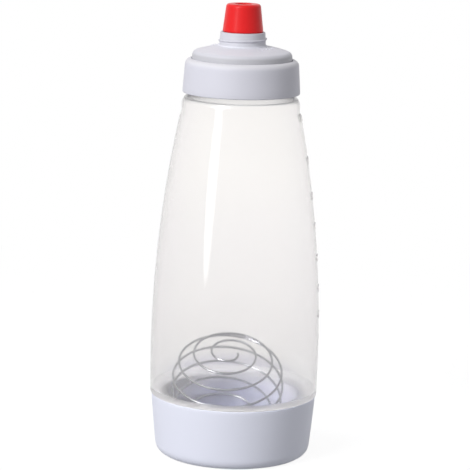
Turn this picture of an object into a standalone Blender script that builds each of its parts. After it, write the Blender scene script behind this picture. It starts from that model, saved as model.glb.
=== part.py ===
"""Squeeze bottle for batter: a clear bottle open at both ends, a screw-on base cap, a two-piece lid with a
soft nozzle and a slit valve, and a loose wire whisk ball inside.

Metres, +Z up. The origin is the centre of the ring that the bottle stands on. -Y is the front.
"""

import math

import bmesh
import bpy
from mathutils import Euler, Vector

# Running gap between pieces that seat on, slide in or screw into each other.
FIT_GAP = 0.0003

# Bottle body: one long arc, widest a little above the base.
BELLY_RADIUS = 0.0470
BELLY_HEIGHT = 0.0570
BODY_CURVE_RADIUS = 0.670
SHOULDER_HEIGHT = 0.2010
SHOULDER_FILLET = 0.0024
BAND_LENGTH = 0.0080
BAND_STEP = 0.0006
BOTTLE_WALL = 0.0013
HEEL_FILLET = 0.0030
HEEL_TUCK = 0.0001
HEEL_WALL = 0.0016
HEEL_INSIDE_FILLET = 0.0040

# The upper neck takes the lid. The lower one, set in from the body, takes the base.
MOUTH_RADIUS = 0.0283
MOUTH_WALL = 0.0016
MOUTH_LENGTH = 0.0153
THROAT_SETBACK = 0.0082
THROAT_WALL = 0.0018

# Base cap: an outer skirt and an inner threaded cup that share one top web.
BASE_HEIGHT = 0.0344
BASE_RIM_INSET = 0.0006
BASE_RIM_FILLET = 0.0014
BASE_TAPER = 0.0033
BASE_BULGE = 0.0002
SKIRT_SHARES = (0.7, 0.4)
BASE_SKIRT_WALL = 0.0016
BASE_WEB = 0.0018
CUP_WALL = 0.0014
FLOOR_HEIGHT = 0.0102
FLOOR_THICKNESS = 0.0018
FOOT_FILLET = 0.0050
FOOT_WIDTH = 0.0020
FOOT_LIP = 0.0018

# Seals.
BASE_GASKET_THICKNESS = 0.0021
BASE_GASKET_OVERHANG = 0.0002
LID_GASKET_THICKNESS = 0.0012
LID_GASKET_OVERHANG = 0.0012

# Screw collar of the lid.
COLLAR_WALL = 0.0025
COLLAR_DRAFT = 0.0013
COLLAR_SHOULDER_FILLET = 0.0036
COLLAR_EDGE_FILLET = 0.0012
COLLAR_WEB = 0.0020
COLLAR_LIFT = 0.0019

# Spout dome: the disc that the collar clamps, with the threaded spout in its middle.
DOME_SETBACK = 0.0008
DOME_RISE = 0.0084
DOME_CURVE_RADIUS = 0.082
DOME_EDGE_FILLET = 0.0015
DOME_WALL = 0.0018
DOME_FLANGE = 0.0016
DOME_PLUG_WALL = 0.0014
DOME_PLUG_DEPTH = 0.0046
SPOUT_WALL = 0.0014
SPOUT_FOOT_FLARE = 0.0005
SPOUT_LENGTH = 0.0058
SPOUT_FOOT_FILLET = 0.0011

# Nozzle, slit valve and the ring that holds both up in the dome's socket.
NOZZLE_STEM_RADIUS = 0.0106
NOZZLE_SHOULDER = 0.0008
NOZZLE_TAPER = 0.0018
NOZZLE_LENGTH = 0.0160
NOZZLE_WALL = 0.0011
NOZZLE_TIP_WALL = 0.0020
NOZZLE_TIP_FILLET = 0.0009
NOZZLE_OUTLET_RADIUS = 0.0046
NOZZLE_FLANGE_WIDTH = 0.0057
NOZZLE_FLANGE = 0.0014
SOCKET_WALL = 0.0017
SOCKET_DROP = 0.0006
VALVE_RIM = 0.0012
VALVE_RIM_WIDTH = 0.0055
VALVE_SKIN = 0.0007
VALVE_RISE = 0.0016
VALVE_BEND_AT = 0.55
VALVE_BEND_DROP = 0.25
VALVE_SLIT_WIDTH = 0.0003
VALVE_SLIT_SHARE = 0.75
RETAINER_THICKNESS = 0.0022
RETAINER_HOLE_RADIUS = 0.0090

# Screw threads. A ridge is as high as its neck's play allows and never touches the wall that it faces.
THREAD_HEIGHT = 0.0014
LID_THREAD_LEAD = 0.0040
LID_THREAD_TURNS = 1.5
BASE_THREAD_LEAD = 0.0048
BASE_THREAD_TURNS = 1.25
THREAD_ROOT_WIDTH = 0.0018
THREAD_CREST_WIDTH = 0.0009
SPOUT_THREAD_HEIGHT = 0.0010
SPOUT_THREAD_LEAD = 0.0024
SPOUT_THREAD_TURNS = 1.15
THREAD_FADE = 0.08
THREAD_SINK = 0.0005
THREAD_END_SINK = 0.0002

# Whisk ball: one wire wound from pole to pole of a flattened ball.
BALL_PLAY = 0.0066
BALL_HALF_HEIGHT = 0.0242
BALL_SQUARENESS = 2.8
BALL_TURNS = 25 / 3
BALL_POLE_GAP = 0.0050
WIRE_RADIUS = 0.0007
BALL_OFFSET_X = -0.0027
BALL_OFFSET_Y = -0.0032
BALL_TILT_FORWARD = 22.0
BALL_LEAN_RIGHT = 2.0

# Moulded edges: the usual small round, the wider one inside corners, and the share of an edge that the
# fillets at its two ends may take up.
EDGE_FILLET = 0.0004
CORNER_FILLET = 0.0008
FILLET_REACH = 0.96

# Mesh fineness. A fillet from the big size up gets twice the steps.
BIG_STEPS = 32
SMALL_STEPS = 24
FILLET_STEPS = 2
BIG_FILLET = 0.0035
BODY_STEPS = 7
OUTLINE_STEPS = 400
POINTS_PER_LOOP = 24


def body_radius(height):
    """Outside radius of the bottle's body at a height: one long arc about the belly."""
    rise = height - BELLY_HEIGHT
    return BELLY_RADIUS - BODY_CURVE_RADIUS + math.sqrt(BODY_CURVE_RADIUS**2 - rise**2)


# Heights and radii that follow from the sizes above. A neck's radius is outside its wall, under the thread.
WEB_UNDERSIDE = BASE_HEIGHT - BASE_WEB
THROAT_RADIUS = body_radius(BASE_HEIGHT) - THROAT_SETBACK
HEEL_HEIGHT = BASE_HEIGHT + FIT_GAP
THROAT_END = FLOOR_HEIGHT + FIT_GAP + BASE_GASKET_THICKNESS + FIT_GAP
THROAT_BORE = THROAT_RADIUS - THROAT_WALL
CUP_BORE = THROAT_RADIUS + THREAD_HEIGHT + FIT_GAP
CUP_OUTSIDE = CUP_BORE + CUP_WALL
BASE_RIM_RADIUS = body_radius(BASE_HEIGHT) - BASE_RIM_INSET
BALL_RADIUS = THROAT_BORE - BALL_PLAY

BAND_FOOT = SHOULDER_HEIGHT - BAND_LENGTH
MOUTH_RIM = SHOULDER_HEIGHT + MOUTH_LENGTH
MOUTH_BORE = MOUTH_RADIUS - MOUTH_WALL
COLLAR_BORE = MOUTH_RADIUS + THREAD_HEIGHT + FIT_GAP
COLLAR_RADIUS = COLLAR_BORE + COLLAR_WALL
DOME_RADIUS = MOUTH_RADIUS - DOME_SETBACK
COLLAR_HOLE = DOME_RADIUS + FIT_GAP
COLLAR_FOOT = SHOULDER_HEIGHT + COLLAR_LIFT

LID_GASKET_FOOT = MOUTH_RIM + FIT_GAP
FLANGE_FOOT = LID_GASKET_FOOT + LID_GASKET_THICKNESS + FIT_GAP
FLANGE_TOP = FLANGE_FOOT + DOME_FLANGE
COLLAR_WEB_UNDERSIDE = FLANGE_TOP + FIT_GAP
COLLAR_TOP = COLLAR_WEB_UNDERSIDE + COLLAR_WEB

CROWN_HEIGHT = COLLAR_TOP + DOME_RISE
SPOUT_TOP = CROWN_HEIGHT + SPOUT_LENGTH
SPOUT_BORE = NOZZLE_STEM_RADIUS + FIT_GAP
SPOUT_RADIUS = SPOUT_BORE + SPOUT_WALL
NOZZLE_BORE = NOZZLE_STEM_RADIUS - NOZZLE_WALL
NOZZLE_FOOT_RADIUS = NOZZLE_STEM_RADIUS + NOZZLE_SHOULDER
NOZZLE_TIP_RADIUS = NOZZLE_FOOT_RADIUS - NOZZLE_TAPER
SOCKET_BORE = NOZZLE_STEM_RADIUS + NOZZLE_FLANGE_WIDTH + FIT_GAP
SOCKET_OUTSIDE = SOCKET_BORE + SOCKET_WALL
SOCKET_SEAT = CROWN_HEIGHT - DOME_WALL - SOCKET_DROP
NOZZLE_FLANGE_TOP = SOCKET_SEAT - FIT_GAP
NOZZLE_FOOT = NOZZLE_FLANGE_TOP - NOZZLE_FLANGE
VALVE_TOP = NOZZLE_FOOT - FIT_GAP
VALVE_FOOT = VALVE_TOP - VALVE_RIM
RETAINER_TOP = VALVE_FOOT - FIT_GAP
RETAINER_FOOT = RETAINER_TOP - RETAINER_THICKNESS
NOZZLE_TIP = SPOUT_TOP + NOZZLE_LENGTH


def clear_scene():
    for obj in list(bpy.data.objects):
        bpy.data.objects.remove(obj, do_unlink=True)


def material(name, colour, roughness, metallic=0.0, transmission=0.0):
    made = bpy.data.materials.new(name)
    made.use_nodes = True
    shader = made.node_tree.nodes["Principled BSDF"]
    shader.inputs["Base Color"].default_value = (*colour, 1.0)
    shader.inputs["Roughness"].default_value = roughness
    shader.inputs["Metallic"].default_value = metallic
    shader.inputs["Transmission Weight"].default_value = transmission
    made.diffuse_color = (*colour, 1.0)
    return made


def finish_object(name, mesh, surface, smooth_angle=35.0):
    """Links a mesh as a named object, shaded smooth with its hard corners kept."""
    mesh.shade_smooth()
    mesh.set_sharp_from_angle(angle=math.radians(smooth_angle))
    obj = bpy.data.objects.new(name, mesh)
    obj.data.materials.append(surface)
    bpy.context.scene.collection.objects.link(obj)
    return obj


def fillet_room(fillet, edge, neighbour):
    """Length of an edge that a corner's fillet may use. It shares the edge with the neighbour's fillet."""
    return FILLET_REACH * edge.length * fillet / (fillet + neighbour[2])


def rounded(corners, closed=True):
    """Outline points from corners (radius, height, fillet). A fillet is limited by the edges beside it."""
    points = []
    count = len(corners)
    for i, (radius, height, fillet) in enumerate(corners):
        here = Vector((radius, height))
        is_end = not closed and i in (0, count - 1)
        if fillet <= 0 or is_end:
            points.append(here)
            continue
        last = corners[i - 1]
        following = corners[(i + 1) % count]
        before = Vector(last[:2]) - here
        after = Vector(following[:2]) - here
        turn = before.angle(after)
        room = min(fillet_room(fillet, before, last), fillet_room(fillet, after, following))
        reach = min(fillet / math.tan(turn / 2), room)
        start = here + before.normalized() * reach
        end = here + after.normalized() * reach
        steps = FILLET_STEPS if fillet < BIG_FILLET else 2 * FILLET_STEPS
        for step in range(steps + 1):
            share = step / steps
            bow = (1 - share) ** 2 * start + 2 * share * (1 - share) * here + share**2 * end
            points.append(bow)
    return [(point.x, point.y) for point in points]


def turned(name, outline, surface, steps, closed=True):
    """A solid of revolution about Z from an outline of (radius, height) points, made with a full spin."""
    bm = bmesh.new()
    verts = [bm.verts.new((radius, 0.0, height)) for radius, height in outline]
    edges = [bm.edges.new(pair) for pair in zip(verts[:-1], verts[1:])]
    if closed:
        edges.append(bm.edges.new((verts[-1], verts[0])))
    bmesh.ops.spin(
        bm,
        geom=verts + edges,
        cent=(0.0, 0.0, 0.0),
        axis=(0.0, 0.0, 1.0),
        angle=2 * math.pi,
        steps=steps,
        use_merge=True,
    )
    bmesh.ops.remove_doubles(bm, verts=bm.verts, dist=1e-6)
    bmesh.ops.recalc_face_normals(bm, faces=bm.faces)
    mesh = bpy.data.meshes.new(name)
    bm.to_mesh(mesh)
    bm.free()
    return finish_object(name, mesh, surface)


def as_helper(obj):
    """Marks an object as a cutter or an added shape that only a Boolean reads."""
    obj.hide_render = True
    obj.display_type = "WIRE"
    return obj


def combine(target, helper, operation):
    change = target.modifiers.new(f"{operation.lower()} {helper.name}", "BOOLEAN")
    change.operation = operation
    change.solver = "EXACT"
    change.object = as_helper(helper)


def thread_ridge(name, wall_radius, height, start, lead, turns, surface, steps=BIG_STEPS):
    """A right-hand screw ridge on a wall: outward where height is positive, inward where it is negative.
    Both ends fade into the wall, and the root is sunk into it. An inward ridge allows for its flat facets."""
    outward = math.copysign(1.0, height)
    root = wall_radius - outward * THREAD_SINK
    bm = bmesh.new()
    count = round(turns * steps)
    rings = []
    for i in range(count + 1):
        share = i / count
        fade = min(1.0, min(share, 1 - share) * turns / THREAD_FADE)
        end = wall_radius - outward * THREAD_END_SINK
        crest = end + (wall_radius + height - end) * fade
        if outward < 0:
            crest = crest / math.cos(math.pi / steps)
        angle = 2 * math.pi * i / steps
        middle = start + lead * i / steps
        section = [
            (root, -THREAD_ROOT_WIDTH / 2),
            (crest, -THREAD_CREST_WIDTH / 2),
            (crest, THREAD_CREST_WIDTH / 2),
            (root, THREAD_ROOT_WIDTH / 2),
        ]
        rings.append(
            [bm.verts.new((r * math.cos(angle), r * math.sin(angle), middle + dz)) for r, dz in section]
        )
    for here, there in zip(rings[:-1], rings[1:]):
        for k in range(4):
            bm.faces.new((here[k], here[(k + 1) % 4], there[(k + 1) % 4], there[k]))
    bm.faces.new(rings[0])
    bm.faces.new(rings[-1])
    bmesh.ops.recalc_face_normals(bm, faces=bm.faces)
    mesh = bpy.data.meshes.new(name)
    bm.to_mesh(mesh)
    bm.free()
    return finish_object(name, mesh, surface)


def block(name, low, high, turn, surface):
    """A box between two corners, turned about Z by an angle in radians."""
    bm = bmesh.new()
    bmesh.ops.create_cube(bm, size=1.0)
    middle = (Vector(low) + Vector(high)) / 2
    size = Vector(high) - Vector(low)
    for vert in bm.verts:
        vert.co = Vector((vert.co.x * size.x, vert.co.y * size.y, vert.co.z * size.z)) + middle
    mesh = bpy.data.meshes.new(name)
    bm.to_mesh(mesh)
    bm.free()
    made = finish_object(name, mesh, surface)
    made.rotation_euler = (0.0, 0.0, turn)
    return made


def along(low, high, count):
    """Heights from low to high, both ends included."""
    return [low + (high - low) * i / count for i in range(count + 1)]


def make_bottle(surface):
    """Body with a threaded neck at each end. Its heel turns in over the base's rim at an even wall."""
    heel_top = HEEL_HEIGHT + HEEL_FILLET
    body_top = BAND_FOOT - BAND_STEP
    band_radius = body_radius(body_top) - BAND_STEP
    shoulder_inside = SHOULDER_HEIGHT - BOTTLE_WALL
    shelf = HEEL_HEIGHT + HEEL_WALL
    inside_foot = shelf + HEEL_INSIDE_FILLET
    inside_radius = body_radius(inside_foot) - BOTTLE_WALL
    outside = rounded(
        [
            (MOUTH_RADIUS, MOUTH_RIM, 0.0),
            (MOUTH_RADIUS, SHOULDER_HEIGHT, 0.0),
            (band_radius, SHOULDER_HEIGHT, SHOULDER_FILLET),
            (band_radius, BAND_FOOT, 0.0),
        ],
        closed=False,
    )
    outside += [(body_radius(z), z) for z in reversed(along(heel_top, body_top, BODY_STEPS))]
    heel = rounded(
        [
            (body_radius(heel_top), heel_top, 0.0),
            (body_radius(heel_top) - HEEL_TUCK, HEEL_HEIGHT, HEEL_FILLET),
            (THROAT_RADIUS, HEEL_HEIGHT, 0.0),
            (THROAT_RADIUS, THROAT_END, 0.0),
            (THROAT_BORE, THROAT_END, 0.0),
            (THROAT_BORE, shelf, CORNER_FILLET),
            (inside_radius, shelf, HEEL_INSIDE_FILLET),
            (inside_radius, inside_foot, 0.0),
        ],
        closed=False,
    )
    inside = [(body_radius(z) - BOTTLE_WALL, z) for z in along(inside_foot, body_top, BODY_STEPS)[1:]]
    top = rounded(
        [
            (band_radius - BOTTLE_WALL, BAND_FOOT, 0.0),
            (band_radius - BOTTLE_WALL, shoulder_inside, SHOULDER_FILLET),
            (MOUTH_BORE, shoulder_inside, 0.0),
            (MOUTH_BORE, MOUTH_RIM, 0.0),
            (MOUTH_RADIUS, MOUTH_RIM, 0.0),
        ],
        closed=False,
    )[:-1]
    bottle = turned("bottle", outside + heel[1:] + inside + top, surface, BIG_STEPS)
    lid_thread = thread_ridge(
        "bottle_lid_thread",
        MOUTH_RADIUS,
        THREAD_HEIGHT,
        lid_thread_start() + LID_THREAD_LEAD / 2,
        LID_THREAD_LEAD,
        LID_THREAD_TURNS,
        surface,
    )
    base_thread = thread_ridge(
        "bottle_base_thread",
        THROAT_RADIUS,
        THREAD_HEIGHT,
        base_thread_start() - BASE_THREAD_LEAD / 2,
        BASE_THREAD_LEAD,
        BASE_THREAD_TURNS,
        surface,
    )
    combine(bottle, lid_thread, "UNION")
    combine(bottle, base_thread, "UNION")
    return bottle


def lid_thread_start():
    """Height where the collar's own ridge begins. The bottle's ridge lies half a lead above it."""
    span = LID_THREAD_LEAD * (LID_THREAD_TURNS + 0.5)
    room = MOUTH_RIM - SHOULDER_HEIGHT
    return SHOULDER_HEIGHT + (room - span) / 2


def base_thread_start():
    """Height where the cup's own ridge begins. The bottle's ridge lies half a lead below it."""
    span = BASE_THREAD_LEAD * (BASE_THREAD_TURNS + 0.5)
    room = HEEL_HEIGHT - THROAT_END
    return THROAT_END + (room - span) / 2 + BASE_THREAD_LEAD / 2


def skirt_radius(height):
    """Outside radius of the base's skirt: it narrows towards the foot with a slight bulge."""
    share = height / BASE_HEIGHT
    return BASE_RIM_RADIUS - BASE_TAPER * (1 - share) + 4 * BASE_BULGE * share * (1 - share)


def make_base_cap(surface):
    """One moulding: skirt, top web and threaded cup. It is open below, and stands on the skirt's
    turned-in foot."""
    skirt_top = WEB_UNDERSIDE
    foot_top = FOOT_FILLET + FOOT_LIP
    foot_outside = skirt_radius(0.0)
    foot_inside = foot_outside - FOOT_FILLET - FOOT_WIDTH
    outline = rounded(
        [
            (0.0, FLOOR_HEIGHT, 0.0),
            (CUP_BORE, FLOOR_HEIGHT, 0.0),
            (CUP_BORE, BASE_HEIGHT, 0.0),
            (BASE_RIM_RADIUS, BASE_HEIGHT, BASE_RIM_FILLET),
            *[(skirt_radius(share * BASE_HEIGHT), share * BASE_HEIGHT, 0.0) for share in SKIRT_SHARES],
            (foot_outside, 0.0, FOOT_FILLET),
            (foot_inside, 0.0, 0.0),
            (foot_inside, FOOT_LIP, 0.0),
            (skirt_radius(foot_top) - BASE_SKIRT_WALL, foot_top, 0.0),
            (skirt_radius(skirt_top) - BASE_SKIRT_WALL, skirt_top, 0.0),
            (CUP_OUTSIDE, skirt_top, 0.0),
            (CUP_OUTSIDE, FLOOR_HEIGHT - FLOOR_THICKNESS, CORNER_FILLET),
            (0.0, FLOOR_HEIGHT - FLOOR_THICKNESS, 0.0),
        ],
        closed=False,
    )
    base = turned("base_cap", outline, surface, BIG_STEPS, closed=False)
    ridge = thread_ridge(
        "base_cup_thread",
        CUP_BORE,
        -THREAD_HEIGHT,
        base_thread_start(),
        BASE_THREAD_LEAD,
        BASE_THREAD_TURNS,
        surface,
    )
    combine(base, ridge, "UNION")
    return base


def make_ring(name, inside, outside, low, high, surface, steps=BIG_STEPS):
    """A flat ring, as a gasket or a retaining ring."""
    outline = [(outside, high), (outside, low), (inside, low), (inside, high)]
    return turned(name, outline, surface, steps)


def make_collar(surface):
    """The turning ring of the lid: threaded skirt and a narrow web that clamps the dome's flange."""
    outline = rounded(
        [
            (COLLAR_HOLE, COLLAR_TOP, EDGE_FILLET),
            (COLLAR_RADIUS - COLLAR_DRAFT, COLLAR_TOP, COLLAR_SHOULDER_FILLET),
            (COLLAR_RADIUS, COLLAR_FOOT, COLLAR_EDGE_FILLET),
            (COLLAR_BORE, COLLAR_FOOT, 0.0),
            (COLLAR_BORE, COLLAR_WEB_UNDERSIDE, 0.0),
            (COLLAR_HOLE, COLLAR_WEB_UNDERSIDE, 0.0),
        ]
    )
    collar = turned("screw_collar", outline, surface, BIG_STEPS)
    ridge = thread_ridge(
        "collar_thread",
        COLLAR_BORE,
        -THREAD_HEIGHT,
        lid_thread_start(),
        LID_THREAD_LEAD,
        LID_THREAD_TURNS,
        surface,
    )
    combine(collar, ridge, "UNION")
    return collar


def dome_height(radius):
    """Height of the dome's upper face at a radius."""
    return CROWN_HEIGHT - radius**2 / (2 * DOME_CURVE_RADIUS)


def make_spout_dome(surface):
    """Disc clamped by the collar, with a plug into the bottle's mouth, a socket below and the spout above."""
    flange_radius = COLLAR_BORE - FIT_GAP
    plug_outside = MOUTH_BORE - FIT_GAP
    plug_inside = plug_outside - DOME_PLUG_WALL
    spout_foot = SPOUT_RADIUS + SPOUT_FOOT_FLARE
    middle_radius = (spout_foot + DOME_RADIUS) / 2
    outline = rounded(
        [
            (SPOUT_RADIUS, SPOUT_TOP, EDGE_FILLET),
            (spout_foot, dome_height(spout_foot), SPOUT_FOOT_FILLET),
            (middle_radius, dome_height(middle_radius), 0.0),
            (DOME_RADIUS, dome_height(DOME_RADIUS), DOME_EDGE_FILLET),
            (DOME_RADIUS, FLANGE_TOP, 0.0),
            (flange_radius, FLANGE_TOP, 0.0),
            (flange_radius, FLANGE_FOOT, 0.0),
            (plug_outside, FLANGE_FOOT, 0.0),
            (plug_outside, FLANGE_FOOT - DOME_PLUG_DEPTH, 0.0),
            (plug_inside, FLANGE_FOOT - DOME_PLUG_DEPTH, 0.0),
            (plug_inside, dome_height(plug_inside) - DOME_WALL, 0.0),
            (SOCKET_OUTSIDE, dome_height(SOCKET_OUTSIDE) - DOME_WALL, 0.0),
            (SOCKET_OUTSIDE, RETAINER_FOOT, 0.0),
            (SOCKET_BORE, RETAINER_FOOT, 0.0),
            (SOCKET_BORE, SOCKET_SEAT, 0.0),
            (SPOUT_BORE, SOCKET_SEAT, 0.0),
            (SPOUT_BORE, SPOUT_TOP, 0.0),
        ]
    )
    dome = turned("spout_dome", outline, surface, BIG_STEPS)
    spout_middle = (dome_height(spout_foot) + SPOUT_FOOT_FILLET + SPOUT_TOP) / 2
    ridge = thread_ridge(
        "spout_thread",
        (SPOUT_RADIUS + spout_foot) / 2,
        SPOUT_THREAD_HEIGHT,
        spout_middle - SPOUT_THREAD_LEAD * SPOUT_THREAD_TURNS / 2,
        SPOUT_THREAD_LEAD,
        SPOUT_THREAD_TURNS,
        surface,
    )
    combine(dome, ridge, "UNION")
    return dome


def make_nozzle(surface):
    """Soft cone that stands on the spout's rim, on a stem through the bore. Its flange is held under
    the dome."""
    flange_radius = NOZZLE_STEM_RADIUS + NOZZLE_FLANGE_WIDTH
    ceiling = NOZZLE_TIP - NOZZLE_TIP_WALL
    cone_foot = SPOUT_TOP + FIT_GAP
    outline = rounded(
        [
            (flange_radius, NOZZLE_FLANGE_TOP, 0.0),
            (flange_radius, NOZZLE_FOOT, 0.0),
            (NOZZLE_BORE, NOZZLE_FOOT, 0.0),
            (NOZZLE_BORE, cone_foot, 0.0),
            (NOZZLE_BORE - NOZZLE_TAPER, ceiling, CORNER_FILLET),
            (NOZZLE_OUTLET_RADIUS, ceiling, 0.0),
            (NOZZLE_OUTLET_RADIUS, NOZZLE_TIP, EDGE_FILLET),
            (NOZZLE_TIP_RADIUS, NOZZLE_TIP, NOZZLE_TIP_FILLET),
            (NOZZLE_FOOT_RADIUS, cone_foot, 0.0),
            (NOZZLE_STEM_RADIUS, cone_foot, 0.0),
            (NOZZLE_STEM_RADIUS, NOZZLE_FLANGE_TOP, 0.0),
        ]
    )
    return turned("nozzle", outline, surface, SMALL_STEPS)


def make_slit_valve(surface):
    """Soft disc whose domed middle is cut by two crossed slits. It opens when the bottle is squeezed."""
    rim_radius = SOCKET_BORE - FIT_GAP
    skin_radius = rim_radius - VALVE_RIM_WIDTH
    crown = VALVE_FOOT + VALVE_RISE + VALVE_SKIN
    outline = [
        (0.0, crown),
        (skin_radius * VALVE_BEND_AT, crown - VALVE_RISE * VALVE_BEND_DROP),
        (skin_radius, VALVE_TOP),
        (rim_radius, VALVE_TOP),
        (rim_radius, VALVE_FOOT),
        (skin_radius, VALVE_FOOT),
        (skin_radius * VALVE_BEND_AT, crown - VALVE_RISE * VALVE_BEND_DROP - VALVE_SKIN),
        (0.0, crown - VALVE_SKIN),
    ]
    valve = turned("slit_valve", outline, surface, SMALL_STEPS, closed=False)
    reach = skin_radius * VALVE_SLIT_SHARE
    for i, turn in enumerate((math.pi / 4, 3 * math.pi / 4)):
        slit = block(
            f"valve_slit_{i + 1}",
            (-reach, -VALVE_SLIT_WIDTH / 2, VALVE_FOOT - VALVE_SKIN),
            (reach, VALVE_SLIT_WIDTH / 2, crown + VALVE_SKIN),
            turn,
            surface,
        )
        combine(valve, slit, "DIFFERENCE")
    return valve


def ball_outline():
    """Meridian of the ball, pole to pole, as close points: (length run so far, radius, rise)."""
    power = 2 / BALL_SQUARENESS
    outline = [(0.0, 0.0, BALL_HALF_HEIGHT)]
    for i in range(1, OUTLINE_STEPS + 1):
        polar = math.pi * i / OUTLINE_STEPS
        radius = BALL_RADIUS * abs(math.sin(polar)) ** power
        rise = BALL_HALF_HEIGHT * math.copysign(abs(math.cos(polar)) ** power, math.cos(polar))
        length, last_radius, last_rise = outline[-1]
        outline.append((length + math.hypot(radius - last_radius, rise - last_rise), radius, rise))
    return outline


def at_length(outline, length):
    """Radius and rise on the outline where a given length has been run."""
    for before, after in zip(outline[:-1], outline[1:]):
        if length <= after[0]:
            break
    share = (length - before[0]) / (after[0] - before[0])
    return before[1] + share * (after[1] - before[1]), before[2] + share * (after[2] - before[2])


def whisk_points():
    """Wire centreline: evenly spaced turns over the ball's outline, tilted as the ball lies in the
    base's cup."""
    tilt = Euler((math.radians(BALL_TILT_FORWARD), math.radians(BALL_LEAN_RIGHT), 0.0)).to_matrix()
    outline = ball_outline()
    wound = outline[-1][0] - 2 * BALL_POLE_GAP
    count = round(BALL_TURNS * POINTS_PER_LOOP)
    points = []
    for i in range(count + 1):
        share = i / count
        radius, rise = at_length(outline, BALL_POLE_GAP + wound * share)
        turn = -2 * math.pi * BALL_TURNS * share
        points.append(tilt @ Vector((radius * math.cos(turn), radius * math.sin(turn), rise)))
    drop = min(point.z for point in points) - WIRE_RADIUS
    seat = Vector((BALL_OFFSET_X, BALL_OFFSET_Y, FLOOR_HEIGHT + FIT_GAP - drop))
    return [point + seat for point in points]


def least_gap(points, tube_radius, skip):
    """Smallest clear distance between parts of one tube that lie at least skip points apart."""
    return min(
        (a - b).length - 2 * tube_radius
        for i, a in enumerate(points)
        for b in points[i + skip :]
    )


def make_whisk_ball(surface):
    """The loose wire ball: one unbroken wire, as a bevelled curve with filled ends."""
    points = whisk_points()
    curve = bpy.data.curves.new("whisk_ball", "CURVE")
    curve.dimensions = "3D"
    curve.bevel_depth = WIRE_RADIUS
    curve.bevel_resolution = 1
    curve.use_fill_caps = True
    spline = curve.splines.new("POLY")
    spline.points.add(len(points) - 1)
    for slot, point in zip(spline.points, points):
        slot.co = (*point, 1.0)
    ball = bpy.data.objects.new("whisk_ball", curve)
    ball.data.materials.append(surface)
    bpy.context.scene.collection.objects.link(ball)
    gap = least_gap(points, WIRE_RADIUS, POINTS_PER_LOOP // 2)
    print(f"whisk ball: {BALL_TURNS:.2f} turns, least gap to itself {1000 * gap:.2f} mm")
    return ball


def main():
    clear_scene()
    white_plastic = material("white_plastic", (0.80, 0.80, 0.86), 0.38)
    clear_plastic = material("clear_plastic", (0.93, 0.93, 0.93), 0.12, transmission=0.9)
    red_silicone = material("red_silicone", (0.72, 0.045, 0.05), 0.42)
    clear_silicone = material("clear_silicone", (0.85, 0.86, 0.86), 0.35, transmission=0.4)
    steel_wire = material("steel_wire", (0.62, 0.62, 0.63), 0.18, metallic=1.0)

    make_base_cap(white_plastic)
    make_ring(
        "base_gasket",
        THROAT_BORE - BASE_GASKET_OVERHANG,
        CUP_BORE - FIT_GAP,
        FLOOR_HEIGHT + FIT_GAP,
        FLOOR_HEIGHT + FIT_GAP + BASE_GASKET_THICKNESS,
        clear_silicone,
    )
    make_bottle(clear_plastic)
    make_ring(
        "lid_gasket",
        MOUTH_BORE,
        MOUTH_RADIUS + LID_GASKET_OVERHANG,
        LID_GASKET_FOOT,
        LID_GASKET_FOOT + LID_GASKET_THICKNESS,
        clear_silicone,
    )
    make_spout_dome(white_plastic)
    make_collar(white_plastic)
    make_nozzle(red_silicone)
    make_slit_valve(clear_silicone)
    make_ring(
        "nozzle_retainer",
        RETAINER_HOLE_RADIUS,
        SOCKET_BORE - FIT_GAP,
        RETAINER_FOOT,
        RETAINER_TOP,
        white_plastic,
        SMALL_STEPS,
    )
    make_whisk_ball(steel_wire)


main()
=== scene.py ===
# %% [markdown]
# # A squeeze bottle for pancake batter
# This lesson dresses a construction model of a squeeze bottle: a clear bottle between a white screw base and
# a white lid with a red nozzle, and a loose wire ball inside that stirs the batter when it is shaken.
# The construction model gives every piece its size and its place. Here each visible piece is modelled again
# with finer edges and real walls, and gets a finish. Everything is in metres, Z is up, and the front of the
# bottle looks along -Y.

# %% Load the construction model
import math

import bmesh
import bpy
from mathutils import Euler, Matrix, Vector


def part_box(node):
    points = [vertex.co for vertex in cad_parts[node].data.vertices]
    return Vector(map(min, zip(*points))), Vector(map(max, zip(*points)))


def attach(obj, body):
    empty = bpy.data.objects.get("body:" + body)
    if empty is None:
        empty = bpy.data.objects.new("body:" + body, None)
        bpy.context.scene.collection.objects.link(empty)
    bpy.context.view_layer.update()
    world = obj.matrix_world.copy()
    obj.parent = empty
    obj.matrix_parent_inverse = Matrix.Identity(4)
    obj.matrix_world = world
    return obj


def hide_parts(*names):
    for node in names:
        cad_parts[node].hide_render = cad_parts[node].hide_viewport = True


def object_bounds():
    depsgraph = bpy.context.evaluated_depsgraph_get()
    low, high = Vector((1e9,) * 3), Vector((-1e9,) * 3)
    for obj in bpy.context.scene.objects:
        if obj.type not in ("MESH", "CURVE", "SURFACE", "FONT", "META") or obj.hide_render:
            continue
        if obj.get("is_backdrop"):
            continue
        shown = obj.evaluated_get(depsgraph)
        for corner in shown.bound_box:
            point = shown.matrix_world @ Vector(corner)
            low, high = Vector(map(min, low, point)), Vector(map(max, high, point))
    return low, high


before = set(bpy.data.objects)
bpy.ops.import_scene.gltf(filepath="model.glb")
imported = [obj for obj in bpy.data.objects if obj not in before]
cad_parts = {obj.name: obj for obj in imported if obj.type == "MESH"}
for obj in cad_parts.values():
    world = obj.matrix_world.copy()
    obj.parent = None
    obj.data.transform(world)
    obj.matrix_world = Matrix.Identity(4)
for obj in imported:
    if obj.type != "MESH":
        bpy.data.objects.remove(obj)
cad_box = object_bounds()

# %% [markdown]
# ## The camera
# The bottle was photographed from about 1.3 m away and 37 cm up, with a long lens, looking down by almost
# eleven degrees. The camera is also rolled by a degree and a half, which is why the bottle leans to the
# right. Placing it first means that every later step can be compared with the picture.

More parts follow.
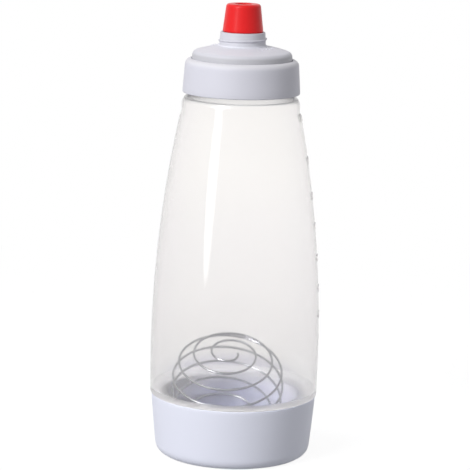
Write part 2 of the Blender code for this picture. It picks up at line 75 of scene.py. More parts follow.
# %% Place the camera
CAMERA_PLACE = (0.0, -1.310, 0.3712)
CAMERA_PAN = math.radians(0.060)
CAMERA_PITCH = math.radians(79.3)
CAMERA_ROLL = math.radians(1.53)
LENS_LENGTH = 183.8
SENSOR_WIDTH = 36.0

bpy.ops.object.camera_add(location=CAMERA_PLACE)
camera = bpy.context.object
turned = Matrix.Rotation(CAMERA_PAN, 4, "Z") @ Matrix.Rotation(CAMERA_PITCH, 4, "X")
camera.matrix_world = Matrix.Translation(CAMERA_PLACE) @ turned @ Matrix.Rotation(CAMERA_ROLL, 4, "Z")
camera.data.lens = LENS_LENGTH
camera.data.sensor_width = SENSOR_WIDTH
bpy.context.scene.camera = camera
print("lens:", camera.data.lens, "mm")

# %% [markdown]
# ## Sizes
# The boxes of the construction nodes say where each piece starts and ends. What a box can't tell, such as a
# wall, a bore or the long arc of the bottle's side, is written once, where it is first needed. GAP is the
# play between two pieces that are screwed or pushed together.

# %% Read and write the sizes
base_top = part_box("base_cap")[1].z
bottle_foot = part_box("bottle")[0].z
mouth_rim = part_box("bottle")[1].z
belly_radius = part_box("bottle")[1].x
collar_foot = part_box("screw_collar")[0].z
collar_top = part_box("screw_collar")[1].z
collar_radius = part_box("screw_collar")[1].x
spout_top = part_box("spout_dome")[1].z
retainer_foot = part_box("nozzle_retainer")[0].z
nozzle_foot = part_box("nozzle")[0].z
nozzle_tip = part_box("nozzle")[1].z
ball_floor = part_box("whisk_ball")[0].z

GAP = 0.0003
BELLY_HEIGHT = 0.0570
SIDE_ARC = 0.670


def side_radius(height):
    """Outside radius of the bottle at a height. The side is one long arc about the belly."""
    rise = height - BELLY_HEIGHT
    return belly_radius - SIDE_ARC + math.sqrt(SIDE_ARC**2 - rise**2)


def even_steps(first, last, count):
    """Evenly spaced values, both ends included."""
    return [first + (last - first) * i / count for i in range(count + 1)]


print(f"{2000 * belly_radius:.1f} mm wide, {1000 * nozzle_tip:.1f} mm high")

# %% [markdown]
# ## Turning a piece
# Nearly every piece here is round, so one helper does what a modeller does by hand: add a circle, extrude
# its ring, move it up and scale it, again and again along the outline. A spun profile would give the same
# shape, but this way the rings stay even, and one of them is easy to find again when its edge is rounded.
# An outline that comes back to its start makes a ring with a hollow middle, and its last ring is merged
# with the first. An outline that ends somewhere else is filled at both ends.


# %% A helper that turns a piece
ROUND_SIDES = 144
SAME_SPOT = 1e-6


def only(piece):
    """Selects one object and nothing else."""
    bpy.ops.object.select_all(action="DESELECT")
    piece.select_set(True)
    bpy.context.view_layer.objects.active = piece


def turn(name, outline, hollow=True):
    """Makes a round piece from an outline of (radius, height) rings."""
    bpy.ops.object.select_all(action="DESELECT")
    radius, height = outline[0]
    bpy.ops.mesh.primitive_circle_add(vertices=ROUND_SIDES, radius=radius, location=(0, 0, height))
    piece = bpy.context.object
    piece.name = piece.data.name = name
    bpy.ops.object.transform_apply(location=True, rotation=False, scale=False)
    bpy.ops.object.mode_set(mode="EDIT")
    bpy.ops.mesh.select_all(action="SELECT")
    if not hollow:
        bpy.ops.mesh.edge_face_add()
    route = outline[1:] + outline[:1] if hollow else outline[1:]
    for next_radius, next_height in route:
        bpy.ops.mesh.extrude_region_move(TRANSFORM_OT_translate={"value": (0, 0, next_height - height)})
        share = next_radius / radius
        bpy.ops.transform.resize(value=(share, share, 1), center_override=(0, 0, next_height))
        radius, height = next_radius, next_height
    bpy.ops.mesh.select_all(action="SELECT")
    bpy.ops.mesh.remove_doubles(threshold=SAME_SPOT)
    bpy.ops.mesh.normals_make_consistent(inside=False)
    bpy.ops.object.mode_set(mode="OBJECT")
    return piece


# %% [markdown]
# ## Rounding an edge
# No moulded edge is sharp. The bevel tool rounds the edges that are selected, so the next helper looks for
# the edges that run round the piece at one radius and height, selects them, and bevels them. Most edges
# take one of four rounds, from 0.3 mm to 0.8 mm, and the others get a name with their piece.


# %% Helpers that round edges and smooth a piece
FINE_ROUND = 0.0003
SMALL_ROUND = 0.0004
SOFT_ROUND = 0.0006
FULL_ROUND = 0.0008
EDGE_STEPS = 4
NEAR = 2e-5
SMOOTH_ANGLE = math.radians(30)


def on_ring(point, radius, height):
    """True if a point lies on the ring of that radius and height."""
    return abs(point.z - height) < NEAR and abs(math.hypot(point.x, point.y) - radius) < NEAR


def round_edges(piece, rings):
    """Bevels rings of edges, given as (radius, height, width)."""
    only(piece)
    for radius, height, width in rings:
        bpy.ops.object.mode_set(mode="EDIT")
        bpy.ops.mesh.select_mode(type="EDGE")
        bpy.ops.mesh.select_all(action="DESELECT")
        mesh = bmesh.from_edit_mesh(piece.data)
        found = [e for e in mesh.edges if all(on_ring(v.co, radius, height) for v in e.verts)]
        for edge in found:
            edge.select_set(True)
        bmesh.update_edit_mesh(piece.data)
        if not found:
            raise ValueError(f"{piece.name} has no ring at radius {radius:.5f}, height {height:.5f}")
        bpy.ops.mesh.bevel(offset=width, segments=EDGE_STEPS, affect="EDGES", clamp_overlap=True)
        bpy.ops.object.mode_set(mode="OBJECT")


def smooth(piece):
    """Shades a piece smooth and keeps its real corners."""
    only(piece)
    bpy.ops.object.shade_smooth_by_angle(angle=SMOOTH_ANGLE)


# %% [markdown]
# ## Winding a screw thread
# A plastic thread is a low ridge that climbs round the wall and fades out at both ends. A small plane gives
# the ridge's section. Its foot is sunk into the wall, its crest is narrowed to half, and the crest's two
# corners are rounded with a vertex bevel. Turning the section about Z sets where the thread starts.


# %% A helper that makes the section of a ridge
THREAD_SINK = 0.0005
THREAD_CREST_SHARE = 0.5
THREAD_ROUND = 0.00035
THREAD_ROUND_STEPS = 3


def ridge_section(name, wall, height, width, start, first_angle):
    """The section of a ridge on a wall of that radius. A negative height points inwards."""
    way = math.copysign(1.0, height)
    crest = wall + height
    root = wall - way * THREAD_SINK
    middle = ((crest + root) / 2, 0, start)
    bpy.ops.object.select_all(action="DESELECT")
    bpy.ops.mesh.primitive_plane_add(size=1, location=middle, rotation=(math.pi / 2, 0, 0))
    ridge = bpy.context.object
    ridge.name = name
    ridge.scale = (abs(crest - root), width, 1)
    bpy.ops.object.transform_apply(location=True, rotation=True, scale=True)
    bpy.ops.object.mode_set(mode="EDIT")
    bpy.ops.mesh.select_mode(type="VERT")
    bpy.ops.mesh.select_all(action="DESELECT")
    mesh = bmesh.from_edit_mesh(ridge.data)
    for vert in mesh.verts:
        vert.select_set(way * (vert.co.x - wall) > 0)
    mesh.select_flush_mode()
    bmesh.update_edit_mesh(ridge.data)
    bpy.ops.transform.resize(value=(1, 1, THREAD_CREST_SHARE), center_override=(0, 0, start))
    bpy.ops.mesh.bevel(offset=THREAD_ROUND, segments=THREAD_ROUND_STEPS, affect="VERTICES")
    bpy.ops.mesh.select_all(action="SELECT")
    bpy.ops.transform.rotate(value=first_angle, orient_axis="Z", center_override=(0, 0, 0))
    bpy.ops.mesh.delete(type="ONLY_FACE")
    bpy.ops.object.mode_set(mode="OBJECT")
    return ridge


# %% [markdown]
# The Screw modifier carries the section round while it climbs. The fade comes afterwards: near either end of
# the ridge each crest is scaled towards the wall, and the last one ends just inside it.


# %% Helpers that wind the section and fade its ends
THREAD_STEPS = 96
THREAD_FADE = 0.08
THREAD_END_SINK = 0.0002


def fade_ends(ridge, wall, height, start, section, steps, fade):
    """Lowers the crest at both ends, over that share of a turn. A section has that many points."""
    way = math.copysign(1.0, height)
    crest = wall + height
    end = wall - way * THREAD_END_SINK
    for step in range(steps + 1):
        share = min(1.0, min(step, steps - step) / (fade * THREAD_STEPS))
        if share == 1.0:
            continue
        bpy.ops.mesh.select_all(action="DESELECT")
        mesh = bmesh.from_edit_mesh(ridge.data)
        mesh.verts.ensure_lookup_table()
        for vert in mesh.verts[step * section : (step + 1) * section]:
            vert.select_set(way * (math.hypot(vert.co.x, vert.co.y) - wall) > 0)
        bmesh.update_edit_mesh(ridge.data)
        squeeze = (end + (crest - end) * share) / crest
        bpy.ops.transform.resize(value=(squeeze, squeeze, 1), center_override=(0, 0, start))


def wind_thread(name, wall, height, width, start, lead, turns, fade=THREAD_FADE, first_angle=0.0):
    """A right-hand ridge that climbs by its lead in each turn."""
    ridge = ridge_section(name, wall, height, width, start, first_angle)
    section = len(ridge.data.vertices)
    steps = round(turns * THREAD_STEPS)
    winding = ridge.modifiers.new("winding", "SCREW")
    winding.axis = "Z"
    winding.angle = math.tau * turns
    winding.screw_offset = lead * turns
    winding.steps = winding.render_steps = steps
    winding.use_merge_vertices = False
    bpy.ops.object.modifier_apply(modifier=winding.name)
    bpy.ops.object.mode_set(mode="EDIT")
    fade_ends(ridge, wall, height, start, section, steps, fade)
    bpy.ops.mesh.select_all(action="SELECT")
    bpy.ops.mesh.fill_holes(sides=0)
    bpy.ops.mesh.normals_make_consistent(inside=False)
    bpy.ops.object.mode_set(mode="OBJECT")
    return ridge


# %% [markdown]
# A ridge is joined to its piece with a Boolean union, so that the two are one skin, as in the moulding. The
# union leaves a few slivers, which are faces with next to no area. They are dissolved, so that the skin
# stays closed when it is split in triangles. The last helper measures a piece that has been made.


# %% Helpers that weld a ridge on and measure a piece
SLIVER = 1e-6


def weld(piece, added):
    """Joins a shape to a piece with a Boolean union, then clears the slivers that the union leaves."""
    only(piece)
    joining = piece.modifiers.new("joining", "BOOLEAN")
    joining.operation = "UNION"
    joining.solver = "EXACT"
    joining.object = added
    bpy.ops.object.modifier_apply(modifier=joining.name)
    bpy.data.objects.remove(added, do_unlink=True)
    bpy.ops.object.mode_set(mode="EDIT")
    bpy.ops.mesh.select_all(action="SELECT")
    bpy.ops.mesh.dissolve_degenerate(threshold=SLIVER)
    bpy.ops.object.mode_set(mode="OBJECT")


def report(piece):
    """Prints a piece's size, its face count, how many of its edges are open, and its volume."""
    mesh = bmesh.new()
    mesh.from_mesh(piece.data)
    open_edges = sum(not edge.is_manifold for edge in mesh.edges)
    volume = 1e6 * mesh.calc_volume(signed=True)
    mesh.free()
    size = [round(1000 * side, 1) for side in piece.dimensions]
    faces = len(piece.data.polygons)
    print(f"{piece.name}: {size} mm, {faces} faces, {open_edges} open edges, {volume:.2f} ml")


# %% [markdown]
# ## The base
# The base is one white moulding: a skirt that carries on the line of the bottle, and inside it a threaded
# cup that the bottle screws into. The cup's floor is also the bottle's floor, and the wire ball lies on it.
# The skirt narrows towards its foot and stands on a rounded foot ring.

# %% The sizes of the base
CUP_BORE = 0.04012
CUP_WALL = 0.0014
CUP_FLOOR = 0.0102
CUP_FLOOR_ROUND = 0.0010
FLOOR_THICKNESS = 0.0018
RIM_SETBACK = 0.0006
RIM_RADIUS = side_radius(base_top) - RIM_SETBACK
RIM_WEB = 0.0018
SKIRT_TAPER = 0.0033
SKIRT_BULGE = 0.0002
SKIRT_WALL = 0.0016
SKIRT_RINGS = 8
SKIRT_FIRST_RING = 0.0030
SKIRT_RING_STEP = 0.0036
FOOT_ROUND = 0.0050
FOOT_WIDTH = 0.0020
FOOT_LIP = 0.0018


def skirt_radius(height):
    """The skirt narrows towards its foot, with a slight bulge."""
    share = height / base_top
    return RIM_RADIUS - SKIRT_TAPER * (1 - share) + 4 * SKIRT_BULGE * share * (1 - share)


print(f"the skirt: {2000 * RIM_RADIUS:.1f} mm at its rim, {2000 * skirt_radius(0):.1f} mm at its foot")

# %% [markdown]
# The outline starts at the cup's floor, climbs its wall, crosses the rim, runs down the skirt and turns
# under the foot. Below it is open, as thin plastic has to be, and the outline ends under the floor.

# %% Turn the base
foot_radius = skirt_radius(0)
foot_bore = foot_radius - FOOT_ROUND - FOOT_WIDTH
web_underside = base_top - RIM_WEB
floor_underside = CUP_FLOOR - FLOOR_THICKNESS
skirt = [base_top - SKIRT_FIRST_RING - SKIRT_RING_STEP * i for i in range(SKIRT_RINGS)]
outline = [(CUP_BORE, CUP_FLOOR), (CUP_BORE, base_top), (RIM_RADIUS, base_top)]
outline += [(skirt_radius(z), z) for z in skirt]
outline += [(foot_radius, 0), (foot_bore, 0), (foot_bore, FOOT_LIP)]
outline += [(skirt_radius(z) - SKIRT_WALL, z) for z in (FOOT_ROUND + FOOT_LIP, web_underside)]
outline += [(CUP_BORE + CUP_WALL, web_underside), (CUP_BORE + CUP_WALL, floor_underside)]
base = turn("base", outline, hollow=False)
round_edges(
    base,
    [
        (CUP_BORE, CUP_FLOOR, CUP_FLOOR_ROUND),
        (CUP_BORE, base_top, SMALL_ROUND),
        (RIM_RADIUS, base_top, SMALL_ROUND),
        (foot_radius, 0, FOOT_ROUND),
        (foot_bore, 0, SMALL_ROUND),
        (foot_bore, FOOT_LIP, SMALL_ROUND),
        (CUP_BORE + CUP_WALL, web_underside, SOFT_ROUND),
        (CUP_BORE + CUP_WALL, floor_underside, FULL_ROUND),
    ],
)
report(base)

# %% [markdown]
# The cup's thread points inwards. Its ridge and the bottle's ridge lie half a lead apart, so that they pass
# each other as the bottle is turned. Together they take half a lead more height than one of them, and that
# span is centred between the throat's end and the rim.

# %% Wind the thread of the cup
THREAD_HEIGHT = 0.0014
THREAD_WIDTH = 0.0018
PAIR_OFFSET = 0.5
BASE_LEAD = 0.0048
BASE_TURNS = 1.25
base_span = BASE_LEAD * (BASE_TURNS + PAIR_OFFSET)
throat_thread_start = bottle_foot + (base_top + GAP - bottle_foot - base_span) / 2
cup_thread_start = throat_thread_start + BASE_LEAD * PAIR_OFFSET
cup_thread = wind_thread(
    "cup_thread", CUP_BORE, -THREAD_HEIGHT, THREAD_WIDTH, cup_thread_start, BASE_LEAD, BASE_TURNS
)
weld(base, cup_thread)
smooth(base)
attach(base, "base")
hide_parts("base_cap")
report(base)

# %% [markdown]
# ## The bottle
# The bottle is blown in one piece and open at both ends. Its side is one long arc. Below, it turns in over
# the base's rim and drops as a threaded throat into the cup. Above, it steps in by 0.6 mm for a short band,
# rounds over, slopes up as the shoulder and ends in the threaded mouth. The wall is an even half millimetre,
# and only the throat and the mouth are thicker, because they carry the threads.

# %% The sizes of the bottle
BOTTLE_WALL = 0.0005
THROAT_SETBACK = 0.0082
THROAT_WALL = 0.0018
THROAT_RADIUS = side_radius(base_top) - THROAT_SETBACK
THROAT_BORE = THROAT_RADIUS - THROAT_WALL
HEEL_ROUND = 0.0006
HEEL_PRESS = 0.00003
SHELF_ROUND = 0.0010
SHELF_RISE = 1.2 * SHELF_ROUND
BODY_RINGS = 36
BAND_LENGTH = 0.0067
BAND_STEP = 0.0006
BAND_SLOPE = 0.0025
SHOULDER = 0.1997
SHOULDER_ROUND = 0.0024
NECK_FOOT = 0.2034
MOUTH_RADIUS = 0.0283
MOUTH_BORE = 0.0267

band_foot = SHOULDER - BAND_LENGTH
band_radius = side_radius(band_foot - BAND_STEP) - BAND_STEP
body_top = band_foot - BAND_SLOPE
heel_face = base_top - HEEL_PRESS
shelf = heel_face + BOTTLE_WALL
inside_foot = shelf + SHELF_RISE
shelf_radius = side_radius(inside_foot) - BOTTLE_WALL
print(f"the wall runs from {1000 * heel_face:.1f} mm to {1000 * body_top:.1f} mm above the floor")

# %% [markdown]
# The outline runs from the mouth's rim down the outside, round the throat's end and back up the inside, so
# that the bottle is a closed ring with a wall. Inside, the heel is a narrow shelf. Outside, it is screwed
# down hard on the base's rim, so it is pressed into it by a hair, and no film of air mirrors the light there.

# %% Turn the bottle
outside_rings = even_steps(heel_face + 2 * HEEL_ROUND, body_top, BODY_RINGS)
inside_rings = even_steps(inside_foot, body_top, BODY_RINGS)
outline = [(MOUTH_RADIUS, mouth_rim), (MOUTH_RADIUS, NECK_FOOT)]
outline += [(band_radius, SHOULDER), (band_radius, band_foot)]
outline += [(side_radius(z), z) for z in reversed(outside_rings)]
outline += [(side_radius(heel_face), heel_face), (THROAT_RADIUS, heel_face), (THROAT_RADIUS, bottle_foot)]
outline += [(THROAT_BORE, bottle_foot), (THROAT_BORE, shelf), (shelf_radius, shelf)]
outline += [(side_radius(z) - BOTTLE_WALL, z) for z in inside_rings]
outline += [(band_radius - BOTTLE_WALL, band_foot), (band_radius - BOTTLE_WALL, SHOULDER - BOTTLE_WALL)]
outline += [(MOUTH_BORE, NECK_FOOT - BOTTLE_WALL), (MOUTH_BORE, mouth_rim)]
bottle = turn("bottle_body", outline)
round_edges(
    bottle,
    [
        (MOUTH_RADIUS, mouth_rim, SMALL_ROUND),
        (MOUTH_BORE, mouth_rim, SMALL_ROUND),
        (MOUTH_RADIUS, NECK_FOOT, SOFT_ROUND),
        (band_radius, SHOULDER, SHOULDER_ROUND),
        (side_radius(heel_face), heel_face, HEEL_ROUND),
        (THROAT_RADIUS, heel_face, FULL_ROUND),
        (THROAT_RADIUS, bottle_foot, SMALL_ROUND),
        (THROAT_BORE, bottle_foot, SMALL_ROUND),
        (THROAT_BORE, shelf, SHELF_ROUND),
        (shelf_radius, shelf, SHELF_ROUND),
        (band_radius - BOTTLE_WALL, SHOULDER - BOTTLE_WALL, SHOULDER_ROUND - BOTTLE_WALL),
        (MOUTH_BORE, NECK_FOOT - BOTTLE_WALL, SOFT_ROUND),
    ],
)
report(bottle)

# %% [markdown]
# The throat's thread starts half a lead below the cup's. The mouth's thread starts half a lead above the one
# inside the collar, and that pair is centred between MOUTH_THREAD_FOOT and the mouth's rim.

# %% Wind the two threads of the bottle
LID_LEAD = 0.0040
LID_TURNS = 1.5
MOUTH_THREAD_FOOT = 0.2010
lid_span = LID_LEAD * (LID_TURNS + PAIR_OFFSET)
collar_thread_start = MOUTH_THREAD_FOOT + (mouth_rim - MOUTH_THREAD_FOOT - lid_span) / 2
mouth_thread_start = collar_thread_start + LID_LEAD * PAIR_OFFSET
for name, wall, start, lead, turns in (
    ("throat_thread", THROAT_RADIUS, throat_thread_start, BASE_LEAD, BASE_TURNS),
    ("mouth_thread", MOUTH_RADIUS, mouth_thread_start, LID_LEAD, LID_TURNS),
):
    weld(bottle, wind_thread(name, wall, THREAD_HEIGHT, THREAD_WIDTH, start, lead, turns))
smooth(bottle)
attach(bottle, "bottle")
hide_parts("bottle")
report(bottle)

# %% [markdown]
# ## The scale
# A scale stands raised on the bottle's right side, from 300 to 1000 in steps of 100. As the bottle narrows
# upwards, the steps grow, because each holds the same volume. Each number is plain text turned into a mesh,
# and has a small bar beside it. Both are first made flat, well beside the bottle.

# %% Helpers that make a flat number and a flat bar
MARKS = {
    "300": 0.0678,
    "400": 0.0810,
    "500": 0.0958,
    "600": 0.1129,
    "700": 0.1307,
    "800": 0.1476,
    "900": 0.1675,
    "1000": 0.1909,
}
NUMBER_SIZE = 0.0053
NUMBER_RISE = 0.00185
NUMBER_END = -0.0004
NUMBER_CURVE_STEPS = 3
BAR_LENGTH = 0.0075
BAR_THICKNESS = 0.0009
BAR_START = 0.0014
BAR_CUTS = 5
FACING_RIGHT = (math.pi / 2, 0, math.pi / 2)
WELL_BESIDE = 2 * belly_radius


def flat_number(label, height):
    """The number as a flat mesh beside the bottle, facing right."""
    place = (WELL_BESIDE, NUMBER_END, height - NUMBER_RISE)
    bpy.ops.object.text_add(location=place, rotation=FACING_RIGHT)
    number = bpy.context.object
    number.data.body = label
    number.data.size = NUMBER_SIZE
    number.data.align_x = "RIGHT"
    number.data.resolution_u = NUMBER_CURVE_STEPS
    only(number)
    bpy.ops.object.convert(target="MESH")
    return bpy.context.object


def flat_bar(height):
    """The bar beside a number, cut across so that it can bend round the wall."""
    place = (WELL_BESIDE, BAR_START + BAR_LENGTH / 2, height)
    bpy.ops.mesh.primitive_plane_add(size=1, location=place, rotation=FACING_RIGHT)
    bar = bpy.context.object
    bar.scale = (BAR_LENGTH, BAR_THICKNESS, 1)
    bpy.ops.object.mode_set(mode="EDIT")
    bpy.ops.mesh.subdivide(number_cuts=BAR_CUTS)
    bpy.ops.object.mode_set(mode="OBJECT")
    return bar


# %% [markdown]
# Shrinkwrap throws a flat mark onto the round wall and a hair into it, and Solidify gives it its height. A
# mark may not stand out past the belly's widest line, so the lowest marks are almost flush.

# %% A helper that raises a mark
MARK_HEIGHT = 0.0004
MARK_SINK = 0.0001
ROOM_SHARE = 0.8


def raise_mark(mark, height):
    """Throws a flat mark onto the wall and gives it as much height as the belly's width leaves room for."""
    only(mark)
    bpy.ops.object.transform_apply(location=True, rotation=True, scale=True)
    wrap = mark.modifiers.new("wrap", "SHRINKWRAP")
    wrap.wrap_method = "PROJECT"
    wrap.use_project_x = True
    wrap.use_negative_direction = True
    wrap.use_positive_direction = False
    wrap.target = bottle
    wrap.offset = -MARK_SINK
    bpy.ops.object.modifier_apply(modifier=wrap.name)
    room = belly_radius - side_radius(height - NUMBER_RISE)
    solid = mark.modifiers.new("height", "SOLIDIFY")
    solid.thickness = MARK_SINK + min(MARK_HEIGHT, ROOM_SHARE * room)
    solid.offset = 1.0
    bpy.ops.object.modifier_apply(modifier=solid.name)


# %% [markdown]
# Each number and its bar are raised at their height. In the end all the marks are joined to one piece,
# because they are moulded with the bottle and turn with it.

# %% Raise the scale
marks = []
for label, height in MARKS.items():
    for mark in (flat_number(label, height), flat_bar(height)):
        raise_mark(mark, height)
        marks.append(mark)
bpy.ops.object.select_all(action="DESELECT")
for mark in marks:
    mark.select_set(True)
scale_marks = marks[0]
bpy.context.view_layer.objects.active = scale_marks
bpy.ops.object.join()
scale_marks.name = scale_marks.data.name = "scale_marks"
smooth(scale_marks)
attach(scale_marks, "bottle")
report(scale_marks)

# %% [markdown]
# ## The lid
# The lid is two mouldings. A disc with the threaded spout in its middle lies on the bottle's mouth, and the
# collar screws down over the disc's flange and clamps it. The disc stands proud of the collar by a small
# crisp step, its upper face is a shallow dome, and a low ring lies round the spout's foot. Below, a plug
# reaches into the mouth and a socket holds the nozzle's flange.

# %% The sizes of the disc
DISC_SETBACK = 0.0008
DISC_RADIUS = MOUTH_RADIUS - DISC_SETBACK
DISC_ROUND = 0.0020
DISC_WALL = 0.0018
DOME_ARC = 0.082
DOME_RINGS = 6
UNDERSIDE_RING = 0.0216
FLANGE_THICKNESS = 0.0016
PLUG_WALL = 0.0014
PLUG_DEPTH = 0.0046
COLLAR_BORE = MOUTH_RADIUS + THREAD_HEIGHT + GAP
COLLAR_WEB = 0.0020
SPOUT_LENGTH = 0.0058
SPOUT_RISE = 0.0007
SPOUT_RADIUS = 0.0123
SPOUT_BORE = 0.0109
SPOUT_FLARE = 0.0005
SPOUT_FOOT = SPOUT_RADIUS + SPOUT_FLARE
SPOUT_RING = 0.0134
SPOUT_RING_HEIGHT = 0.0005
SPOUT_RING_ROUND = 0.0002
SOCKET_BORE = 0.0166
SOCKET_RADIUS = 0.0183
SOCKET_DROP = 0.0006

crown = spout_top - SPOUT_LENGTH
spout_rim = spout_top + SPOUT_RISE
flange_top = collar_top - COLLAR_WEB - GAP
flange_foot = flange_top - FLANGE_THICKNESS
flange_radius = COLLAR_BORE - GAP
plug_radius = MOUTH_BORE - GAP
socket_seat = crown - DISC_WALL - SOCKET_DROP


def dome_height(radius):
    """Height of the disc's upper face at a radius."""
    return crown - radius**2 / (2 * DOME_ARC)


ring_top = dome_height(SPOUT_RING) + SPOUT_RING_HEIGHT
print(f"the disc rises by {1000 * (crown - dome_height(DISC_RADIUS)):.1f} mm from its edge to the spout")

# %% [markdown]
# The outline runs down the spout, over the ring and the dome to the flange, down and up the plug, and back
# through the socket and the spout's bore.

# %% Turn the disc with its spout
underside = (plug_radius - PLUG_WALL, UNDERSIDE_RING, SOCKET_RADIUS)
outline = [(SPOUT_RADIUS, spout_rim), (SPOUT_FOOT, ring_top), (SPOUT_RING, ring_top)]
outline += [(radius, dome_height(radius)) for radius in even_steps(SPOUT_RING, DISC_RADIUS, DOME_RINGS)]
outline += [(DISC_RADIUS, flange_top), (flange_radius, flange_top), (flange_radius, flange_foot)]
outline += [(plug_radius, flange_foot), (plug_radius, flange_foot - PLUG_DEPTH)]
outline += [(plug_radius - PLUG_WALL, flange_foot - PLUG_DEPTH)]
outline += [(radius, dome_height(radius) - DISC_WALL) for radius in underside]
outline += [(SOCKET_RADIUS, retainer_foot), (SOCKET_BORE, retainer_foot), (SOCKET_BORE, socket_seat)]
outline += [(SPOUT_BORE, socket_seat), (SPOUT_BORE, spout_rim)]
disc = turn("lid_disc", outline)
round_edges(
    disc,
    [
        (SPOUT_RADIUS, spout_rim, SMALL_ROUND),
        (SPOUT_BORE, spout_rim, FINE_ROUND),
        (SPOUT_FOOT, ring_top, SMALL_ROUND),
        (SPOUT_RING, ring_top, SPOUT_RING_ROUND),
        (DISC_RADIUS, dome_height(DISC_RADIUS), DISC_ROUND),
        (flange_radius, flange_top, FINE_ROUND),
        (plug_radius, flange_foot - PLUG_DEPTH, SMALL_ROUND),
    ],
)
report(disc)

# %% [markdown]
# The spout's own thread takes a cap. It starts at the front on the right and climbs a little more than once
# round the spout. Beside the ring at the spout's foot stand two short rows of small teeth, which let a cap
# click as it closes. One tooth is modelled and copied round.

# %% Wind the thread of the spout and set the teeth
SPOUT_THREAD_HEIGHT = 0.0010
SPOUT_THREAD_WIDTH = 0.0015
SPOUT_LEAD = 0.0024
SPOUT_TURNS = 1.15
SPOUT_THREAD_START = spout_top - 0.0051
SPOUT_THREAD_ANGLE = math.radians(-35)
SPOUT_FADE = 0.03
TOOTH_SIZE = (0.0007, 0.0005, 0.0012)
TOOTH_RING = 0.0172
TOOTH_SINK = 0.0002
TEETH_IN_ROW = 6
TOOTH_STEP = 10
ROW_STARTS = (-60, 120)

spout_thread = wind_thread(
    "spout_thread",
    SPOUT_RADIUS,
    SPOUT_THREAD_HEIGHT,
    SPOUT_THREAD_WIDTH,
    SPOUT_THREAD_START,
    SPOUT_LEAD,
    SPOUT_TURNS,
    fade=SPOUT_FADE,
    first_angle=SPOUT_THREAD_ANGLE,
)
weld(disc, spout_thread)
bpy.ops.object.select_all(action="DESELECT")
bpy.ops.mesh.primitive_cube_add(size=1, location=(TOOTH_RING, 0, dome_height(TOOTH_RING) - TOOTH_SINK))
tooth = bpy.context.object
tooth.scale = TOOTH_SIZE
bpy.ops.object.transform_apply(location=True, rotation=True, scale=True)
for angle in [start + TOOTH_STEP * i for start in ROW_STARTS for i in range(TEETH_IN_ROW)]:
    copy = tooth.copy()
    copy.data = tooth.data.copy()
    copy.data.transform(Matrix.Rotation(math.radians(angle), 4, "Z"))
    bpy.context.scene.collection.objects.link(copy)
    weld(disc, copy)
bpy.data.objects.remove(tooth, do_unlink=True)
smooth(disc)
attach(disc, "lid")
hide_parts("spout_dome")
report(disc)

# %% [markdown]
# The collar is plain outside: a slight draft, a generous round at its shoulder and a small one at its foot.
# Inside it has the thread that draws it down on the mouth.

# %% Turn the collar
COLLAR_DRAFT = 0.0013
COLLAR_HOLE = DISC_RADIUS + GAP
COLLAR_FOOT_RISE = 0.0005
COLLAR_ROUND = 0.0030
COLLAR_RINGS = 4
collar_shoulder = collar_radius - COLLAR_DRAFT
collar_edge = collar_foot + COLLAR_FOOT_RISE
outline = [(COLLAR_HOLE, collar_top), (collar_shoulder, collar_top)]
outline += [
    (collar_radius - COLLAR_DRAFT * (z - collar_edge) / (collar_top - collar_edge), z)
    for z in reversed(even_steps(collar_edge, collar_top, COLLAR_RINGS)[:-1])
]
outline += [(COLLAR_BORE, collar_edge), (COLLAR_BORE, flange_top + GAP), (COLLAR_HOLE, flange_top + GAP)]
collar = turn("collar", outline)
round_edges(
    collar,
    [
        (COLLAR_HOLE, collar_top, FINE_ROUND),
        (collar_shoulder, collar_top, COLLAR_ROUND),
        (collar_radius, collar_edge, SOFT_ROUND),
        (COLLAR_BORE, collar_edge, SMALL_ROUND),
    ],
)
collar_thread = wind_thread(
    "collar_thread", COLLAR_BORE, -THREAD_HEIGHT, THREAD_WIDTH, collar_thread_start, LID_LEAD, LID_TURNS
)
weld(collar, collar_thread)
smooth(collar)
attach(collar, "collar")
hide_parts("screw_collar")
report(collar)

# %% [markdown]
# ## The nozzle
# The nozzle is a soft red cone that stands on the spout's rim. A stem reaches down through the spout, and a
# flange at its lower end keeps it from being pulled out. Its top has a soft round and a round outlet. The
# bore narrows towards the outlet as the cone does outside, so the wall stays even.

# %% Turn the nozzle
STEM_RADIUS = 0.0106
STEM_BORE = 0.0095
CEILING_RADIUS = 0.0077
CONE_FOOT_RADIUS = 0.0112
CONE_TIP_RADIUS = 0.0094
CONE_RINGS = 8
OUTLET_RADIUS = 0.0046
OUTLET_ROUND = 0.0005
NOZZLE_FLANGE_RADIUS = 0.0163
NOZZLE_FLANGE = 0.0014
TIP_WALL = 0.0020
TIP_ROUND = 0.0014

cone_foot = spout_rim + GAP
cone_height = nozzle_tip - cone_foot
cone_taper = CONE_TIP_RADIUS - CONE_FOOT_RADIUS
ceiling = nozzle_tip - TIP_WALL
nozzle_flange_top = nozzle_foot + NOZZLE_FLANGE
outline = [(NOZZLE_FLANGE_RADIUS, nozzle_flange_top), (NOZZLE_FLANGE_RADIUS, nozzle_foot)]
outline += [(STEM_BORE, nozzle_foot), (STEM_BORE, cone_foot), (CEILING_RADIUS, ceiling)]
outline += [(OUTLET_RADIUS, ceiling), (OUTLET_RADIUS, nozzle_tip)]
for share in even_steps(1, 0, CONE_RINGS):
    outline.append((CONE_FOOT_RADIUS + cone_taper * share, cone_foot + cone_height * share))
outline += [(STEM_RADIUS, cone_foot), (STEM_RADIUS, nozzle_flange_top)]
nozzle = turn("soft_nozzle", outline)
round_edges(
    nozzle,
    [
        (OUTLET_RADIUS, nozzle_tip, OUTLET_ROUND),
        (CONE_TIP_RADIUS, nozzle_tip, TIP_ROUND),
        (CONE_FOOT_RADIUS, cone_foot, FINE_ROUND),
        (NOZZLE_FLANGE_RADIUS, nozzle_flange_top, SMALL_ROUND),
        (NOZZLE_FLANGE_RADIUS, nozzle_foot, SMALL_ROUND),
        (CEILING_RADIUS, ceiling, FULL_ROUND),
    ],
)
